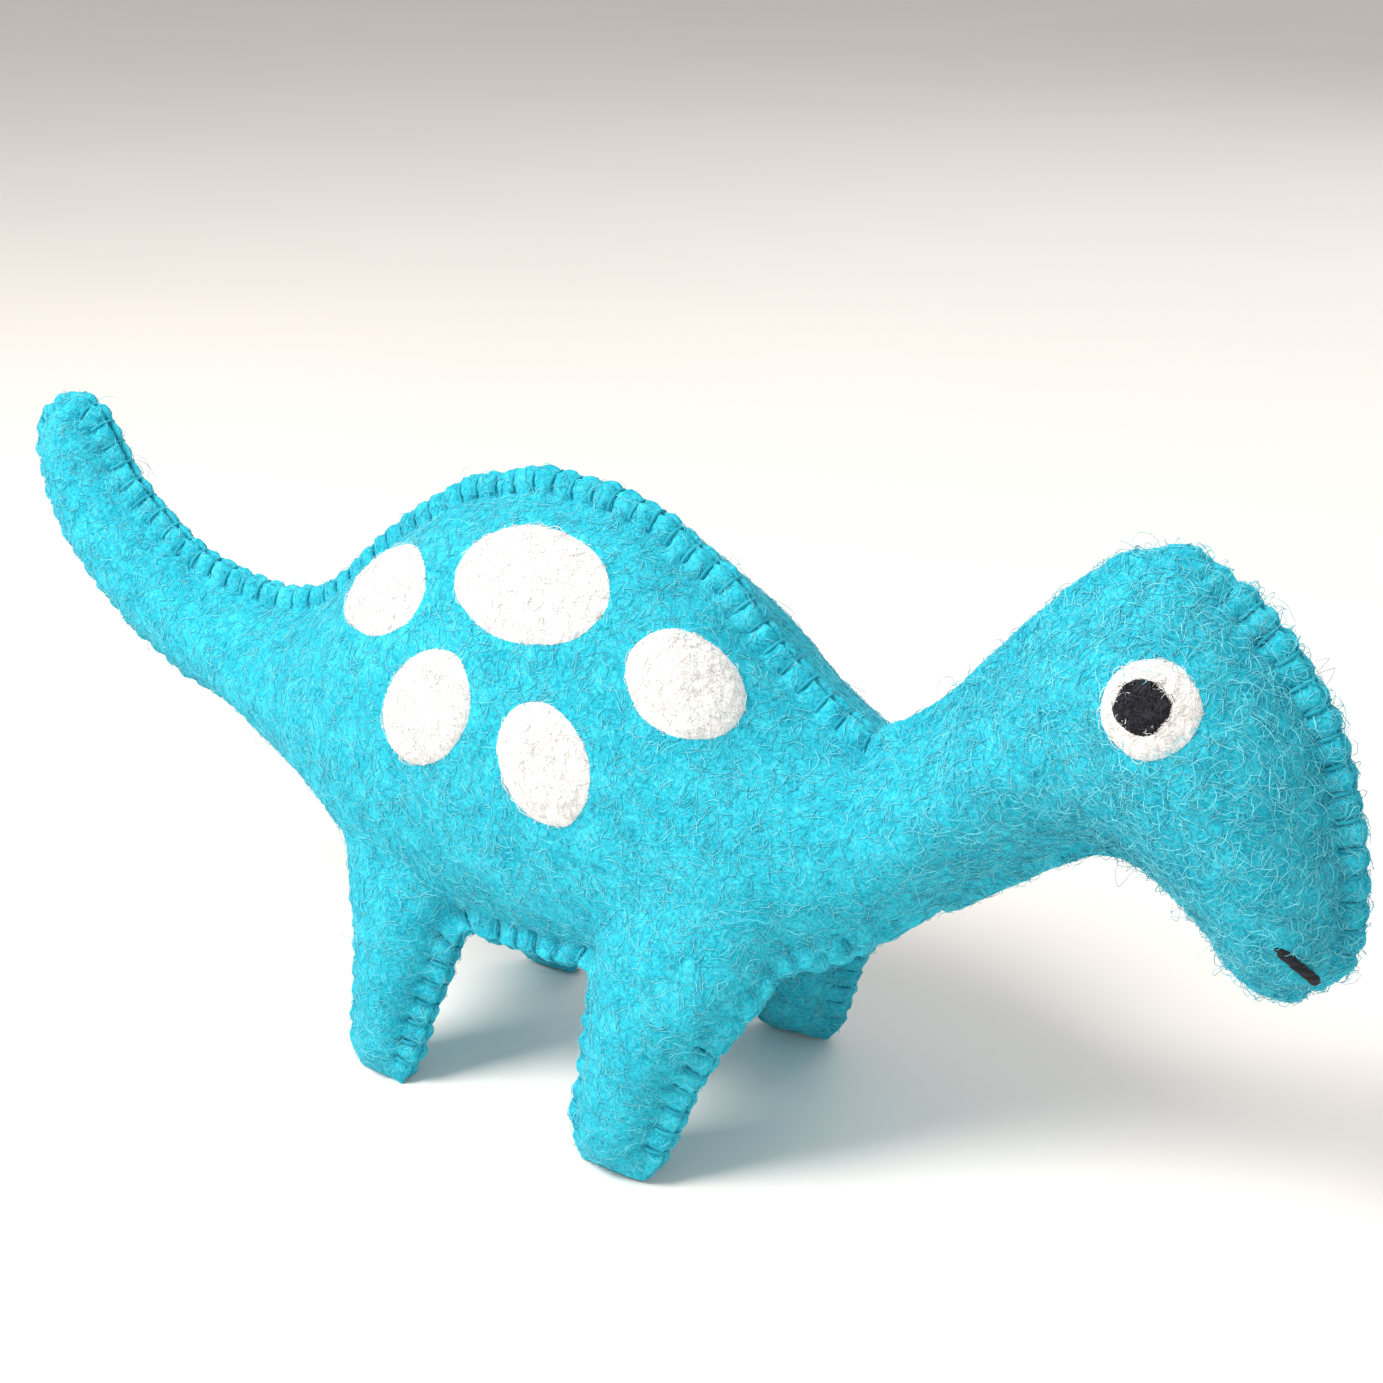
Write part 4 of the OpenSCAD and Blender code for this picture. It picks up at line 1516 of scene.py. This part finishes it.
@dataclass
class Mouth:
    """One long stitch of black yarn on each side of the snout."""

    node: Obj
    palette: Palette
    radius: float = 0.7 * MM
    turns: float = 1.5
    plies: int = 3
    rings: int = 60
    sides: int = 10
    marks: int = 9
    # The plies' middles stand this part of the radius from the yarn's, and each is this thick.
    wind: float = 0.36
    ply_part: float = 0.62
    # How far the yarn stands out of the felt, and how far its ends go in, in radii.
    stand: float = 0.95
    dive: float = 1.8

    def build(self, panels: dict[Side, Obj]) -> None:
        """Twists the yarn along the CAD stitch and lays it on the felt.

        Args:
            panels: the finished side panels.
        """
        plies = []
        for part in Seams.loose_parts(copy_of("mouth_copy", self.node)):
            side = Side.RIGHT if part[:, 1].mean() < 0 else Side.LEFT
            path = self.settle(self.middle_line(part), surface_tree(panels[side]))
            for ply in range(self.plies):
                plies.append(self.ply(path, 2 * math.pi * ply / self.plies))
        bpy.data.meshes.remove(bpy.data.objects["mouth_copy"].data)
        points = np.vstack([p for p, _ in plies])
        faces, start = [], 0
        for own, own_faces in plies:
            faces += [[start + v for v in face] for face in own_faces]
            start += len(own)
        mouth = mesh_from("mouth_of_yarn", points, faces)
        store(mouth, "tone", np.random.default_rng(8).random(len(points)))
        hand_over(mouth, self.palette.get(self.palette.yarn), (self.node.name,))

    def middle_line(self, part: np.ndarray) -> np.ndarray:
        """The middle of a tube, from its points.

        Args:
            part: the tube's points.

        Returns:
            Points along its middle, from its outer end to the seam.
        """
        order = np.abs(part[:, 1])
        marks = np.linspace(order.max() - self.radius, order.min() + self.radius, self.marks)
        return np.array([part[np.abs(order - mark) < 1.1 * self.radius].mean(0) for mark in marks])

    def settle(self, path: np.ndarray, surface: BVHTree) -> np.ndarray:
        """Lays the path on the felt, its ends pulled in, and splits it finely."""
        laid = []
        for number, point in enumerate(path):
            hit, normal, _, _ = surface.find_nearest(Vector(point))
            end = abs(2 * number / (len(path) - 1) - 1) ** 6
            laid.append(hit + normal * self.radius * (self.stand - self.dive * end))
        laid = np.array([tuple(p) for p in laid])
        for _ in range(3):
            laid[1:-1] = (laid[:-2] + 2 * laid[1:-1] + laid[2:]) / 4
        marks = np.linspace(0, len(laid) - 1, self.rings)
        return np.column_stack([np.interp(marks, range(len(laid)), laid[:, axis]) for axis in range(3)])

    def ply(self, path: np.ndarray, phase: float) -> tuple[np.ndarray, list]:
        """One ply of the yarn, wound round the path.

        Args:
            path: the yarn's middle.
            phase: where round the yarn the ply starts.

        Returns:
            Its points and faces.
        """
        run = np.gradient(path, axis=0)
        run /= np.linalg.norm(run, axis=1)[:, None]
        side = np.cross(run, (0.0, 0.0, 1.0))
        side /= np.linalg.norm(side, axis=1)[:, None]
        up = np.cross(side, run)
        turn = phase + 2 * math.pi * self.turns * np.linspace(0, 1, len(path))
        middle = path + self.wind * self.radius * (side * np.cos(turn)[:, None] + up * np.sin(turn)[:, None])
        points, faces = [], []
        for number in range(len(path)):
            for k in range(self.sides):
                angle = 2 * math.pi * k / self.sides
                spoke = side[number] * math.cos(angle) + up[number] * math.sin(angle)
                points.append(middle[number] + self.ply_part * self.radius * spoke)
        for number in range(len(path) - 1):
            for k in range(self.sides):
                a, b = number * self.sides + k, number * self.sides + (k + 1) % self.sides
                faces.append([a, b, b + self.sides, a + self.sides])
        faces.append(list(range(self.sides)))
        faces.append([len(points) - 1 - k for k in range(self.sides)])
        return np.array(points), faces


# ---------------------------------------------------------------- studio


@dataclass
class Studio:
    """A pale floor, soft light from the upper front left, and the camera."""

    eye: tuple[float, float, float] = (0.1864, -0.254, 0.175)
    turn: tuple[float, float, float] = (69.5, 0.0, 34.0)
    lens: float = 63.8
    floor_half: float = 4.0

    def build(self) -> None:
        """Sets up the floor, the lights, the world and the camera."""
        camera = bpy.data.objects.new("camera", bpy.data.cameras.new("camera"))
        camera.location = self.eye
        camera.rotation_euler = [math.radians(a) for a in self.turn]
        camera.data.lens = self.lens
        camera.data.sensor_width = 36
        camera.data.clip_start = 0.01
        bpy.context.scene.collection.objects.link(camera)
        bpy.context.scene.camera = camera
        half = self.floor_half
        corners = np.array([(-half, -half, 0), (half, -half, 0), (half, half, 0), (-half, half, 0)])
        floor = mesh_from("floor", corners, [[0, 1, 2, 3]])
        floor.data.materials.append(self.painted())
        self.light("key", (-0.30, -0.50, 0.71), 0.42, 10.3, "#fff9f2")
        self.light("fill", (0.75, -0.45, 0.5), 0.7, 1.6, "#fff4ec")
        self.light("back", (0.1, 0.8, 0.7), 0.7, 2.6, "#ffffff")
        world = bpy.data.worlds.new("room")
        world.use_nodes = True
        sky = world.node_tree.nodes["Background"]
        sky.inputs["Color"].default_value = linear("#f4ede8")
        sky.inputs["Strength"].default_value = 0.6
        bpy.context.scene.world = world
        bpy.context.scene.view_settings.view_transform = "Standard"

    @staticmethod
    def painted() -> Material:
        """White matt laminate: the pale table top, almost even, with a faint cloudiness."""
        material, tree, shader, place = begin("matt_laminate_white")
        clouded = {"Vector": place, "Scale": 6.0, "Detail": 2.0}
        cloud = add_node(tree, "ShaderNodeTexNoise", clouded).outputs["Fac"]
        colour_ramp(tree, shader, cloud, (0.0, "#ebe9e7"), (1.0, "#f2f0ee"))
        shader.inputs["Roughness"].default_value = 0.6
        return material

    @staticmethod
    def light(name: str, place: tuple[float, float, float], size: float, power: float, colour: str) -> None:
        """Adds one soft square light that faces the toy.

        Args:
            name: its name.
            place: where it stands.
            size: its side, in metres.
            power: its power, in watts.
            colour: its sRGB hex colour.
        """
        lamp = bpy.data.lights.new(name, "AREA")
        lamp.size = size
        lamp.energy = power
        lamp.color = linear(colour)[:3]
        made = bpy.data.objects.new(name, lamp)
        made.location = place
        aim = Vector((0.0, 0.0, 0.04)) - Vector(place)
        made.rotation_euler = aim.to_track_quat("-Z", "Y").to_euler()
        bpy.context.scene.collection.objects.link(made)


def main() -> None:
    """Dresses the toy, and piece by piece."""
    logging.basicConfig(level=logging.INFO, format="%(message)s")
    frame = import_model()
    nodes = frame["nodes"]
    palette = Palette()
    Studio().build()
    seams = Seams(nodes)
    seams.read()
    stuffing = Stuffing(nodes, palette)
    stuffing.press(seams)
    stuffing.build()
    fibre_tool = FibreTool()
    covering = ("spot_", "eye_white_", "mouth_")
    patches = tree_of([node for name, node in nodes.items() if name.startswith(covering)])
    fuzz = Fuzz(fibre_tool, palette, patches)
    cloths = {side.word: (f"side_panel_{side.word}", f"felt_side_{side.word}") for side in Side}
    cloths["underside"] = ("underside_gusset", "felt_underside_gusset")
    felt = {
        word: FeltPanel(nodes[node], name, seams, stuffing, palette) for word, (node, name) in cloths.items()
    }
    needle_dimple = ((-0.035, -0.0186, 0.0557), 0.9 * MM, 1.1 * MM)
    felt[Side.RIGHT.word].dimples = (needle_dimple,)
    for panel in felt.values():
        panel.cut()
    seams.settle_all([panel.piece for panel in felt.values()], seams.open_crown)
    for word, panel in felt.items():
        panel.sew()
        fuzz.raise_on(panel, word)
    seams.settle_all([panel.piece for panel in felt.values()], seams.drawn_crown)
    SeamThread(seams, palette).build()
    panels = {side: felt[side.word].piece for side in Side}
    markings = Markings(nodes, palette, fibre_tool)
    for side in Side:
        markings.build(side, panels[side])
    Mouth(nodes["mouth_yarn"], palette).build(panels)


if __name__ == "__main__":
    main()
